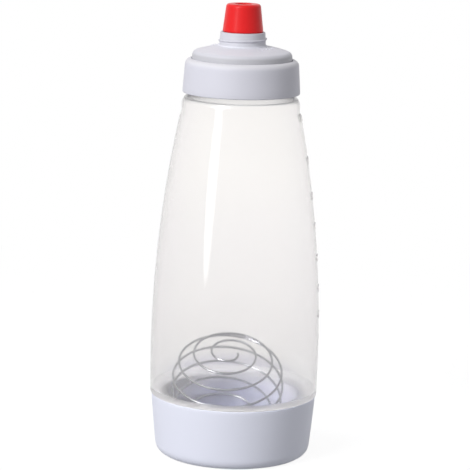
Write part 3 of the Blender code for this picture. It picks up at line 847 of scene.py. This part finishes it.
smooth(nozzle)
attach(nozzle, "lid")
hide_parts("nozzle")
report(nozzle)

# %% [markdown]
# ## The wire ball
# One steel wire is wound from the top of the ball to its foot in a little more than eight even turns, like
# a coil spring that swells and narrows again. Its points come from the winding itself: equal steps along
# the outline of a rounded barrel, while the angle runs on. So the first helper draws the outline, and the
# second finds a point on it by the length run.

# %% Helpers that follow the ball's outline
BALL_PLAY = 0.00575
BALL_RADIUS = THROAT_BORE - BALL_PLAY
BALL_HALF_HEIGHT = 0.0231
BALL_SQUARENESS = 3.1
OUTLINE_STEPS = 400


def ball_outline():
    """The ball's outline from pole to pole as (length run, radius, rise)."""
    power = 2 / BALL_SQUARENESS
    line = [(0.0, 0.0, BALL_HALF_HEIGHT)]
    for i in range(1, OUTLINE_STEPS + 1):
        polar = math.pi * i / OUTLINE_STEPS
        radius = BALL_RADIUS * abs(math.sin(polar)) ** power
        rise = BALL_HALF_HEIGHT * math.copysign(abs(math.cos(polar)) ** power, math.cos(polar))
        length, last_radius, last_rise = line[-1]
        line.append((length + math.hypot(radius - last_radius, rise - last_rise), radius, rise))
    return line


def at_length(line, length):
    """Radius and rise where that much of the outline has been run."""
    after = next(i for i, point in enumerate(line) if point[0] >= length or i == len(line) - 1)
    before = max(after - 1, 0)
    span = line[after][0] - line[before][0]
    share = (length - line[before][0]) / span if span else 0.0
    return [line[before][k] + share * (line[after][k] - line[before][k]) for k in (1, 2)]


# %% [markdown]
# The ball lies tilted in the cup, a little to the left and to the front. Its points are tilted first, and
# then let down until the lowest one rests on the cup's floor. They give a curve, the curve's bevel gives the
# wire its thickness, and the curve is then made a mesh with closed ends.

# %% Wind the wire
BALL_TURNS = 8.2
BALL_POLE_GAP = 0.0047
BALL_PLACE = (-0.0034, -0.0029)
BALL_TILT = (math.radians(24.0), math.radians(1.7), 0.0)
POINTS_PER_TURN = 64
WIRE_RADIUS = 0.0006
WIRE_ROUND_STEPS = 3

line = ball_outline()
wound = line[-1][0] - 2 * BALL_POLE_GAP
tilt = Euler(BALL_TILT).to_matrix()
count = round(BALL_TURNS * POINTS_PER_TURN)
points = []
for i in range(count + 1):
    radius, rise = at_length(line, BALL_POLE_GAP + wound * i / count)
    angle = -math.tau * BALL_TURNS * i / count
    points.append(tilt @ Vector((radius * math.cos(angle), radius * math.sin(angle), rise)))
lowest = min(point.z for point in points)
seat = Vector((*BALL_PLACE, ball_floor + WIRE_RADIUS - lowest))

winding = bpy.data.curves.new("wire_ball", "CURVE")
winding.dimensions = "3D"
winding.bevel_depth = WIRE_RADIUS
winding.bevel_resolution = WIRE_ROUND_STEPS
winding.use_fill_caps = True
run = winding.splines.new("POLY")
run.points.add(count)
for place, point in zip(run.points, points):
    place.co = (*(point + seat), 1.0)
ball = bpy.data.objects.new("wire_ball", winding)
bpy.context.scene.collection.objects.link(ball)
only(ball)
bpy.ops.object.convert(target="MESH")
ball = bpy.context.object
bpy.ops.object.mode_set(mode="EDIT")
bpy.ops.mesh.select_all(action="SELECT")
bpy.ops.mesh.remove_doubles(threshold=SAME_SPOT)
bpy.ops.mesh.normals_make_consistent(inside=False)
bpy.ops.object.mode_set(mode="OBJECT")
smooth(ball)
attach(ball, "ball")
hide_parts("whisk_ball")
report(ball)

# %% [markdown]
# ## Building node trees
# The finishes are node trees, and the same few moves come back in all of them: add a node with its values,
# link sockets, set the stops of a colour ramp, read a piece's own coordinates, map a value between two
# ends to 0 and 1, and mix two shaders. Each move is a helper, so that a finish below reads as a short list.


# %% Helpers that build a node tree
def add(tree, kind, place, values=None, **settings):
    """Adds a node at a place, with its settings by name and the values of its sockets."""
    node = tree.nodes.new(kind)
    node.location = place
    for key, value in settings.items():
        setattr(node, key, value)
    for socket, value in (values or {}).items():
        node.inputs[socket].default_value = value
    return node


def link(tree, *links):
    """Links sockets, given as (node, output, node, input)."""
    for source, output, target, socket in links:
        tree.links.new(source.outputs[output], target.inputs[socket])


def add_ramp(tree, place, stops, interpolation="LINEAR"):
    """A colour ramp with its stops given as (position, colour)."""
    node = add(tree, "ShaderNodeValToRGB", place)
    ramp = node.color_ramp
    ramp.interpolation = interpolation
    ramp.elements.remove(ramp.elements[1])
    for i, (position, colour) in enumerate(stops):
        stop = ramp.elements[0] if i == 0 else ramp.elements.new(position)
        stop.position = position
        stop.color = (*colour, 1.0)
    return node


def add_coordinates(tree, place):
    """The piece's own X, Y and Z, each on a socket."""
    spot = add(tree, "ShaderNodeTexCoord", place)
    split = add(tree, "ShaderNodeSeparateXYZ", (place[0] + 200, place[1]))
    link(tree, (spot, "Object", split, "Vector"))
    return split


def add_range(tree, place, ends, interpolation="LINEAR"):
    """Maps a value between two ends to 0 and 1."""
    values = {"From Min": ends[0], "From Max": ends[1]}
    return add(tree, "ShaderNodeMapRange", place, values, interpolation_type=interpolation)


def mix_shaders(tree, place, factor, first, second):
    """Mixes two shaders by a factor."""
    mix = add(tree, "ShaderNodeMixShader", place)
    tree.links.new(factor, mix.inputs[0])
    link(tree, (first, 0, mix, 1), (second, 0, mix, 2))
    return mix


def show(tree, shader):
    """Links a shader to the material's output."""
    link(tree, (shader, 0, tree.nodes["Material Output"], "Surface"))


# %% [markdown]
# ## The skin of moulded plastic
# Moulded plastic is never one flat colour. Its tone drifts slowly over a few centimetres, its gloss varies
# in small patches where it was handled, and its skin has a very fine grain. One node group holds the three,
# and each material gives it its own colour, size and strength.

# %% The moulded skin as a node group
COLOUR = "NodeSocketColor"
NUMBER = "NodeSocketFloat"
SKIN_INPUTS = [
    ("Color", COLOUR, (0.8, 0.8, 0.8, 1.0)),
    ("Drift", NUMBER, 0.03),
    ("Roughness", NUMBER, 0.4),
    ("Patchiness", NUMBER, 0.06),
    ("Patch Scale", NUMBER, 60.0),
    ("Grain Scale", NUMBER, 2500.0),
]
SKIN_OUTPUTS = [("Color", COLOUR), ("Roughness", NUMBER), ("Height", NUMBER)]
DRIFT_SCALE = 18.0
NOISE_MIDDLE = 0.5


def moulded_skin():
    """Colour drift, patchy gloss and fine grain, all read from the piece's own coordinates."""
    group = bpy.data.node_groups.new("Moulded skin", "ShaderNodeTree")
    for socket, kind, value in SKIN_INPUTS:
        made = group.interface.new_socket(name=socket, in_out="INPUT", socket_type=kind)
        made.default_value = value
    for socket, kind in SKIN_OUTPUTS:
        group.interface.new_socket(name=socket, in_out="OUTPUT", socket_type=kind)
    given = add(group, "NodeGroupInput", (-900, 0))
    result = add(group, "NodeGroupOutput", (500, 0))
    place = add(group, "ShaderNodeTexCoord", (-900, -300))
    slow = add(group, "ShaderNodeTexNoise", (-600, 250), {"Scale": DRIFT_SCALE, "Detail": 2.0})
    patches = add(group, "ShaderNodeTexNoise", (-600, 0), {"Detail": 4.0})
    grain = add(group, "ShaderNodeTexNoise", (-600, -300), {"Detail": 2.0})
    slow_centred = add(group, "ShaderNodeMath", (-400, 250), {1: NOISE_MIDDLE}, operation="SUBTRACT")
    patch_centred = add(group, "ShaderNodeMath", (-400, 0), {1: NOISE_MIDDLE}, operation="SUBTRACT")
    amount = add(group, "ShaderNodeMath", (-200, 250), {2: 1.0}, operation="MULTIPLY_ADD")
    gloss = add(group, "ShaderNodeMath", (-200, 0), operation="MULTIPLY_ADD")
    tone = add(group, "ShaderNodeVectorMath", (100, 250), operation="SCALE")
    for texture in (slow, patches, grain):
        link(group, (place, "Object", texture, "Vector"))
    link(
        group,
        (given, "Patch Scale", patches, "Scale"),
        (given, "Grain Scale", grain, "Scale"),
        (slow, "Fac", slow_centred, 0),
        (slow_centred, 0, amount, 0),
        (given, "Drift", amount, 1),
        (given, "Color", tone, 0),
        (amount, 0, tone, "Scale"),
        (patches, "Fac", patch_centred, 0),
        (patch_centred, 0, gloss, 0),
        (given, "Patchiness", gloss, 1),
        (given, "Roughness", gloss, 2),
        (tone, 0, result, "Color"),
        (gloss, 0, result, "Roughness"),
        (grain, "Fac", result, "Height"),
    )
    return group


skin_group = moulded_skin()
print("skin group:", [item.name for item in skin_group.interface.items_tree])

# %% [markdown]
# The next helper starts a material with the moulded skin already wired into its Principled shader. The grain
# goes through a Bump node, with a height of a few microns. How much the surface mirrors is the same all over
# a piece, so it is set on the shader itself.


# %% Helpers that start a moulded material and put it on
def shader_of(material):
    """The Principled shader of a material."""
    return material.node_tree.nodes["Principled BSDF"]


def skin_of(material):
    """The moulded skin's node in a material."""
    return next(node for node in material.node_tree.nodes if node.type == "GROUP")


def moulded(name, colour, roughness, drift, patchiness, grain, specular=0.5):
    """A material that takes its colour, gloss and grain (scale, height) from the moulded skin."""
    made = bpy.data.materials.new(name)
    made.use_nodes = True
    tree = made.node_tree
    shader = shader_of(made)
    shader.inputs["Specular IOR Level"].default_value = specular
    values = {
        "Color": (*colour, 1.0),
        "Drift": drift,
        "Roughness": roughness,
        "Patchiness": patchiness,
        "Grain Scale": grain[0],
    }
    skin = add(tree, "ShaderNodeGroup", (-500, 0), values, node_tree=skin_group)
    bump = add(tree, "ShaderNodeBump", (-250, -250), {"Strength": 1.0, "Distance": grain[1]})
    link(
        tree,
        (skin, "Color", shader, "Base Color"),
        (skin, "Roughness", shader, "Roughness"),
        (skin, "Height", bump, "Height"),
        (bump, "Normal", shader, "Normal"),
    )
    return made


def coat(piece, material):
    """Gives a piece one material."""
    piece.data.materials.clear()
    piece.data.materials.append(material)


# %% [markdown]
# ## White plastic
# The base and the lid are a cool white with a hint of lilac, in a satin finish. The lid's tones are painted
# light
# and shade: the collar is painted lighter towards its top, and the disc's face is painted lighter than its
# edge and its spout, which are painted in shade. Both follow the height, so a ramp over Z mixes them. The
# collar and the disc also start from darker copies of the base's white, which is painted shade as well.

# %% Mix the white plastics with their painted light and shade
SATIN = {"drift": 0.02, "patchiness": 0.06, "grain": (2600.0, 0.000008)}
# Painted light and shade: the collar is painted lighter near its top; the disc is painted darker at its edge
# and spout.
COLLAR_LIGHT_AND_SHADE = [(collar_top - 0.0035, (0.71, 0.71, 0.79)), (collar_top - 0.0005, (0.77, 0.76, 0.81))]
DISC_LIGHT_AND_SHADE = [
    (dome_height(DISC_RADIUS) - 0.0018, (0.56, 0.56, 0.60)),
    (dome_height(DISC_RADIUS) - 0.0002, (0.68, 0.68, 0.74)),
    (dome_height(DISC_RADIUS) + 0.0010, (0.79, 0.79, 0.86)),
    (ring_top - 0.0002, (0.79, 0.79, 0.86)),
    (ring_top + 0.0003, (0.65, 0.65, 0.71)),
]


def paint_light_by_height(material, tones):
    """Paints light and shade into the skin's colour by a ramp over the height, given as (height, colour) from
    the lowest up.
    """
    tree = material.node_tree
    low, high = tones[0][0], tones[-1][0]
    split = add_coordinates(tree, (-1400, 0))
    share = add_range(tree, (-1000, 0), (low, high))
    ramp = add_ramp(tree, (-800, 0), [((z - low) / (high - low), colour) for z, colour in tones], "EASE")
    link(
        tree,
        (split, "Z", share, "Value"),
        (share, "Result", ramp, "Fac"),
        (ramp, "Color", skin_of(material), "Color"),
    )


# The collar and disc whites are darker copies of the base's white: painted shade.
base_white = moulded("base_white", (0.85, 0.87, 0.99), roughness=0.50, specular=0.3, **SATIN)
cup_painted_shade = moulded("cup_painted_shade", (1.0, 1.0, 1.0), roughness=0.60, specular=0.2, **SATIN)
collar_painted_light = moulded("collar_painted_light", COLLAR_LIGHT_AND_SHADE[0][1], roughness=0.50, specular=0.3, **SATIN)
disc_painted_light = moulded("disc_painted_light", DISC_LIGHT_AND_SHADE[-1][1], roughness=0.50, specular=0.3, **SATIN)
paint_light_by_height(collar_painted_light, COLLAR_LIGHT_AND_SHADE)
paint_light_by_height(disc_painted_light, DISC_LIGHT_AND_SHADE)
print("tones:", len(COLLAR_LIGHT_AND_SHADE), "on the collar,", len(DISC_LIGHT_AND_SHADE), "on the disc")

# %% [markdown]
# Light reaches the cup only through the bottle and past the rim, so its shade is painted into its colour: a
# painted deep blue-grey shade towards its floor, painted lighter at its two sides, and a warm grey painted
# shade at the rim. The line between floor and rim is slanted: the painted shade reaches a little higher at
# the back than at the front.

# %% Paint shade into the cup
# Painted shade: the deep tone, the painted lighter sides and the rim's grey all stand for light and shade.
CUP_DEEP_SHADE = (0.37, 0.38, 0.51, 1.0)
CUP_SIDE = (0.85, 0.84, 0.96, 1.0)
CUP_SIDE_REACH = (0.012, 0.036)
CUP_RIM_SHADE = (0.62, 0.61, 0.61, 1.0)
CUP_SHADE = (0.0190, 0.0345)
CUP_SLANT = -0.1

tree = cup_painted_shade.node_tree
split = add_coordinates(tree, (-1500, 0))
slanted = add(tree, "ShaderNodeMath", (-1150, -100), {1: CUP_SLANT}, operation="MULTIPLY_ADD")
depth = add_range(tree, (-950, -100), CUP_SHADE, "SMOOTHSTEP")
aside = add(tree, "ShaderNodeMath", (-1150, 200), operation="ABSOLUTE")
side = add_range(tree, (-1000, 200), CUP_SIDE_REACH)
inside = add(tree, "ShaderNodeMix", (-850, 200), {"A": CUP_DEEP_SHADE, "B": CUP_SIDE}, data_type="RGBA")
shade = add(tree, "ShaderNodeMix", (-750, 0), {"B": CUP_RIM_SHADE}, data_type="RGBA")
link(
    tree,
    (split, "Y", slanted, 0),
    (split, "Z", slanted, 2),
    (slanted, 0, depth, "Value"),
    (split, "X", aside, 0),
    (aside, 0, side, "Value"),
    (side, "Result", inside, "Factor"),
    (inside, "Result", shade, "A"),
    (depth, "Result", shade, "Factor"),
    (shade, "Result", skin_of(cup_painted_shade), "Color"),
)
print(f"the cup's shade runs from {1000 * CUP_SHADE[0]:.1f} mm to {1000 * CUP_SHADE[1]:.1f} mm")

# %% [markdown]
# ## Red and milky silicone
# The nozzle is a saturated red with a thin, fairly smooth coat, which gives silicone its soft highlight. The
# seals and the slit valve are milky.

# %% Mix the silicones
SILICONE_GRAIN = (1800.0, 0.00001)
RED_SKIN = {"drift": 0.05, "patchiness": 0.08, "grain": SILICONE_GRAIN}
MILKY_SKIN = {"drift": 0.02, "patchiness": 0.05, "grain": SILICONE_GRAIN}
RED_COAT = 0.12
RED_COAT_ROUGHNESS = 0.15

red = moulded("soft_red", (0.82, 0.014, 0.016), roughness=0.38, specular=0.2, **RED_SKIN)
shader_of(red).inputs["Coat Weight"].default_value = RED_COAT
shader_of(red).inputs["Coat Roughness"].default_value = RED_COAT_ROUGHNESS
milky = moulded("milky_silicone", (0.86, 0.87, 0.87), roughness=0.35, **MILKY_SKIN)
print("coat on the red:", RED_COAT)

# %% [markdown]
# Now the opaque finishes go on. The base takes two: its second one, with the painted shade, goes to the faces
# inside the cup and to those on the rim. The seals, the valve and the retainer are hidden, so they keep their
# construction shape and only get a finish.

# %% Put the opaque finishes on
CUP_MARGIN = 0.0002
RIM_MARGIN = 0.0001

coat(base, base_white)
# The cup's faces and the rim's faces take the material with the painted shade.
base.data.materials.append(cup_painted_shade)
for face in base.data.polygons:
    radius = math.hypot(face.center.x, face.center.y)
    in_cup = radius < CUP_BORE + CUP_MARGIN and face.center.z > CUP_FLOOR - CUP_MARGIN
    on_rim = face.center.z > base_top - RIM_MARGIN
    face.material_index = int(in_cup or on_rim)
coat(collar, collar_painted_light)
coat(disc, disc_painted_light)
coat(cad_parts["nozzle_retainer"], collar_painted_light)
coat(nozzle, red)
for node in ("base_gasket", "lid_gasket", "slit_valve"):
    coat(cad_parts[node], milky)
print("faces of the cup:", sum(face.material_index for face in base.data.polygons))

# %% [markdown]
# ## Steel wire
# Bright drawn wire mirrors what is around it. Fine die lines and small scuffs only show as a slight change
# of gloss, so the skin's patches are made very small here and its grain isn't used.

# %% Mix the steel
STEEL_SKIN = {
    "Color": (0.34, 0.34, 0.36, 1.0),
    "Drift": 0.10,
    "Roughness": 0.30,
    "Patchiness": 0.12,
    "Patch Scale": 900.0,
}

steel = bpy.data.materials.new("drawn_steel")
steel.use_nodes = True
shader = shader_of(steel)
shader.inputs["Metallic"].default_value = 1.0
skin = add(steel.node_tree, "ShaderNodeGroup", (-500, 0), STEEL_SKIN, node_tree=skin_group)
link(steel.node_tree, (skin, "Color", shader, "Base Color"), (skin, "Roughness", shader, "Roughness"))
coat(ball, steel)
print("steel roughness:", STEEL_SKIN["Roughness"])

# %% [markdown]
# ## Clear plastic
# The bottle is a clear, slightly hazy plastic. It is glass-like to the renderer: light passes through with
# a little scatter, and the two skins of the wall bend and mirror it. Where the wall is seen edge-on there
# is more plastic to look through, so it turns a warm grey there. Layer Weight tells the shader how edge-on
# it is, and a ramp gives the tint. A Transparent shader takes over for shadow rays, so that the lamps reach
# what is inside.

# %% Mix the clear plastic
CLEAR_SKIN = {"drift": 0.0, "patchiness": 0.03, "grain": (400.0, 0.000006)}
CLEAR_BODY = (0.998, 0.996, 0.993, 1.0)
CLEAR_TINTS = [
    (0.15, (0.965, 0.950, 0.932)),
    (0.35, (0.940, 0.926, 0.917)),
    (0.54, (0.89, 0.870, 0.870)),
    (0.68, (0.83, 0.805, 0.805)),
    (0.85, (0.95, 0.930, 0.930)),
]
CLEAR_TRANSMISSION = 0.975
CLEAR_IOR = 1.45
CLEAR_SHADOW = (0.87, 0.875, 0.90, 1.0)

clear = moulded("hazy_clear", (1.0, 1.0, 1.0), roughness=0.08, **CLEAR_SKIN)
tree = clear.node_tree
shader = shader_of(clear)
shader.inputs["Transmission Weight"].default_value = CLEAR_TRANSMISSION
shader.inputs["IOR"].default_value = CLEAR_IOR
path = add(tree, "ShaderNodeLightPath", (50, 400))
facing = add(tree, "ShaderNodeLayerWeight", (-750, 300), {"Blend": 0.5})
tints = add_ramp(tree, (-550, 300), CLEAR_TINTS)
tint = add(tree, "ShaderNodeMix", (-250, 300), {"A": CLEAR_BODY}, data_type="RGBA")
link(
    tree,
    (facing, "Facing", tints, "Fac"),
    (path, "Is Camera Ray", tint, "Factor"),
    (tints, "Color", tint, "B"),
    (tint, "Result", shader, "Base Color"),
)
see_through = add(tree, "ShaderNodeBsdfTransparent", (50, 100), {"Color": CLEAR_SHADOW})
show(tree, mix_shaders(tree, (300, 200), path.outputs["Is Shadow Ray"], shader, see_through))
print("clear plastic: transmission", CLEAR_TRANSMISSION, "IOR", CLEAR_IOR)

# %% [markdown]
# Two zones of the bottle are matte all round, the heel and the neck, because the mould is left rough there.
# A Map Range over the height takes the roughness from the matte one to the skin's own, first for one zone
# and then for the other.

# %% Make the heel and the neck matte
MATTE_HEEL = (0.0375, 0.0385, 0.45)
MATTE_NECK = (0.1985, 0.1975, 0.15)

split = add_coordinates(tree, (-1000, -100))
roughness = skin_of(clear).outputs["Roughness"]
for matte_end, clear_end, matte_roughness in (MATTE_HEEL, MATTE_NECK):
    zone = add_range(tree, (-600, 50), (matte_end, clear_end))
    zone.inputs["To Min"].default_value = matte_roughness
    link(tree, (split, "Z", zone, "Value"))
    tree.links.new(roughness, zone.inputs["To Max"])
    roughness = zone.outputs["Result"]
tree.links.new(roughness, shader.inputs["Roughness"])
coat(bottle, clear)
coat(scale_marks, clear)
print("matte below", MATTE_HEEL[1], "m and above", MATTE_NECK[1], "m")

# %% [markdown]
# ## The floor
# The picture has a pure white background. So the floor is white to the camera, to mirrored rays and to rays
# that come through the bottle: far away it glows at 1, and near the bottle part of that is a diffuse
# paper, which takes a faint shadow. All other rays meet a grey diffuse floor, which throws a moderate
# light back on the bottle. Light Path tells the rays apart, and the second helper joins its answers.


# %% Helpers for greys and for kinds of rays
def grey(level):
    """A grey of that level."""
    return (level, level, level, 1.0)


def either_ray(tree, place, *kinds):
    """1 where a ray is one of the kinds given, 0 elsewhere."""
    path = add(tree, "ShaderNodeLightPath", place)
    answer = path.outputs[kinds[0]]
    for i, kind in enumerate(kinds[1:], start=1):
        larger = add(tree, "ShaderNodeMath", (place[0] + 200 * i, place[1]), operation="MAXIMUM")
        tree.links.new(answer, larger.inputs[0])
        link(tree, (path, kind, larger, 1))
        answer = larger.outputs[0]
    return answer


# %% [markdown]
# The floor is one large plane, and it is part of the stage and not of the bottle. The distance from the
# bottle's middle decides how much of the diffuse paper is seen.

# %% Lay the floor
FLOOR_SIZE = 16.0
FLOOR_BOUNCE = 0.40
SHADOW_SHARE = 0.13
SHADOW_GLOW = 0.92
SHADOW_REACH = (0.20, 0.60)

bpy.ops.object.select_all(action="DESELECT")
bpy.ops.mesh.primitive_plane_add(size=FLOOR_SIZE, location=(0, 0, 0))
floor = bpy.context.object
floor.name = "floor"
floor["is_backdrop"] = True
paper = bpy.data.materials.new("white_paper")
paper.use_nodes = True
tree = paper.node_tree
tree.nodes.remove(tree.nodes["Principled BSDF"])
bounce = add(tree, "ShaderNodeBsdfDiffuse", (0, 400), {"Color": grey(FLOOR_BOUNCE)})
shaded = add(tree, "ShaderNodeBsdfDiffuse", (0, 200), {"Color": grey(SHADOW_SHARE)})
glow = add(tree, "ShaderNodeEmission", (0, 50), {"Strength": SHADOW_GLOW})
near = add(tree, "ShaderNodeAddShader", (200, 100))
far = add(tree, "ShaderNodeEmission", (200, -50))
place = add(tree, "ShaderNodeTexCoord", (-900, -200))
distance = add(tree, "ShaderNodeVectorMath", (-700, -200), operation="LENGTH")
fade = add_range(tree, (-450, 0), SHADOW_REACH, "SMOOTHSTEP")
link(
    tree,
    (shaded, 0, near, 0),
    (glow, 0, near, 1),
    (place, "Object", distance, 0),
    (distance, "Value", fade, "Value"),
)
seen = mix_shaders(tree, (450, 0), fade.outputs["Result"], near, far)
coat(floor, paper)
print("floor:", FLOOR_SIZE, "m")

# %% [markdown]
# Through the bottle the floor is painted greyer: painted shade around the bottle. A ramp over the distance
# from the bottle's middle gives the floor that painted shade, darkest some 24 cm away. A soft oval right
# behind the bottle adds a painted lilac shadow that lies behind the ball. It is measured as a circle of
# radius 1, by a
# Mapping node that centres and scales it.

# %% Paint shade on what is seen through the bottle
# Painted shade on the floor seen through the bottle, by distance from its middle.
FLOOR_SHADE_THROUGH_BOTTLE = [
    (0.000, (0.840, 0.840, 0.840)),
    (0.175, (0.840, 0.840, 0.840)),
    (0.243, (0.810, 0.800, 0.805)),
    (0.330, (0.850, 0.835, 0.840)),
    (0.400, (0.885, 0.870, 0.875)),
    (0.620, (0.930, 0.915, 0.920)),
    (1.000, (1.00, 0.985, 0.975)),
]
OVAL_MIDDLE = (-0.002, 0.150)
OVAL_HALVES = (0.051, 0.090)
OVAL_EDGE = (1.05, 0.78)
OVAL_SHADOW_COLOUR = (0.77, 0.765, 0.85, 1.0)

centring = {
    "Location": (-OVAL_MIDDLE[0] / OVAL_HALVES[0], -OVAL_MIDDLE[1] / OVAL_HALVES[1], 0.0),
    "Scale": (1 / OVAL_HALVES[0], 1 / OVAL_HALVES[1], 1.0),
}
greys = add_ramp(tree, (-450, -300), FLOOR_SHADE_THROUGH_BOTTLE)
oval = add(tree, "ShaderNodeMapping", (-700, -600), centring)
from_middle = add(tree, "ShaderNodeVectorMath", (-500, -600), operation="LENGTH")
soft_edge = add_range(tree, (-300, -600), OVAL_EDGE, "SMOOTHSTEP")
# The oval's painted lilac shadow, multiplied over the painted greys.
lilac = add(tree, "ShaderNodeMix", (0, -300), {"B": OVAL_SHADOW_COLOUR}, data_type="RGBA", blend_type="MULTIPLY")
through = add(tree, "ShaderNodeEmission", (200, -300))
link(
    tree,
    (distance, "Value", greys, "Fac"),
    (place, "Object", oval, "Vector"),
    (oval, "Vector", from_middle, 0),
    (from_middle, "Value", soft_edge, "Value"),
    (soft_edge, "Result", lilac, "Factor"),
    (greys, "Color", lilac, "A"),
    (lilac, "Result", through, "Color"),
)
seen = mix_shaders(tree, (650, 0), either_ray(tree, (300, -500), "Is Transmission Ray"), seen, through)
direct = either_ray(tree, (-100, 600), "Is Camera Ray", "Is Glossy Ray", "Is Transmission Ray")
show(tree, mix_shaders(tree, (850, 100), direct, bounce, seen))
print("greys through the bottle:", len(FLOOR_SHADE_THROUGH_BOTTLE))

# %% [markdown]
# ## The world and the lamps
# The world is white wherever it is seen, and otherwise an even fill light of about a third. One large soft
# lamp hangs high on the left. A low strip under it draws the long highlight down the bottle. A weak strip
# on the right, a little behind the bottle, lights the edges there: it isn't mirrored and isn't seen through
# the bottle, so that it leaves no second highlight.

# %% Light the world and hang the lamps
WORLD_FILL = 0.35
BOTTLE_MIDDLE = Vector((0.0, 0.0, 0.12))

world = bpy.data.worlds.new("studio")
bpy.context.scene.world = world
world.use_nodes = True
tree = world.node_tree
background = tree.nodes["Background"]
background.inputs["Color"].default_value = grey(1.0)
level = add(tree, "ShaderNodeMapRange", (-250, 0), {"To Min": WORLD_FILL, "To Max": 1.0})
seen = either_ray(tree, (-900, 0), "Is Camera Ray", "Is Glossy Ray", "Is Transmission Ray")
tree.links.new(seen, level.inputs["Value"])
link(tree, (level, "Result", background, "Strength"))


def hang_lamp(name, side, rise, distance, width, height, power):
    """A soft lamp that faces the bottle from a side angle and a rise angle."""
    side, rise = math.radians(side), math.radians(rise)
    away = Vector((math.sin(side) * math.cos(rise), -math.cos(side) * math.cos(rise), math.sin(rise)))
    bpy.ops.object.light_add(type="AREA", location=BOTTLE_MIDDLE + distance * away)
    lamp = bpy.context.object
    lamp.name = name
    lamp.rotation_euler = away.to_track_quat("Z", "Y").to_euler()
    lamp.data.shape = "ELLIPSE"
    lamp.data.size = width
    lamp.data.size_y = height
    lamp.data.energy = power
    print(f"{name}: {power} W at {distance} m")
    return lamp


hang_lamp("high_lamp", side=-41, rise=36, distance=3.0, width=1.1, height=1.1, power=58.0)
hang_lamp("low_strip", side=-43, rise=13, distance=1.3, width=0.35, height=0.85, power=1.9)
edge_strip = hang_lamp("edge_strip", side=115, rise=10, distance=1.4, width=0.3, height=0.8, power=1.6)
edge_strip.visible_glossy = False
edge_strip.visible_transmission = False
bpy.context.scene.view_settings.view_transform = "Standard"

# %% [markdown]
# ## Print the size and finish
# The boxes of the dressed bottle and of the construction model are both printed. The dressed bottle has to
# stay inside the construction model's box.

# %% Write the boxes and finish
dressed_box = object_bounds()
boxes = {"cad": [list(corner) for corner in cad_box], "dressed": [list(corner) for corner in dressed_box]}
for name, corners in boxes.items():
    print(name, [[round(1000 * value, 2) for value in corner] for corner in corners])
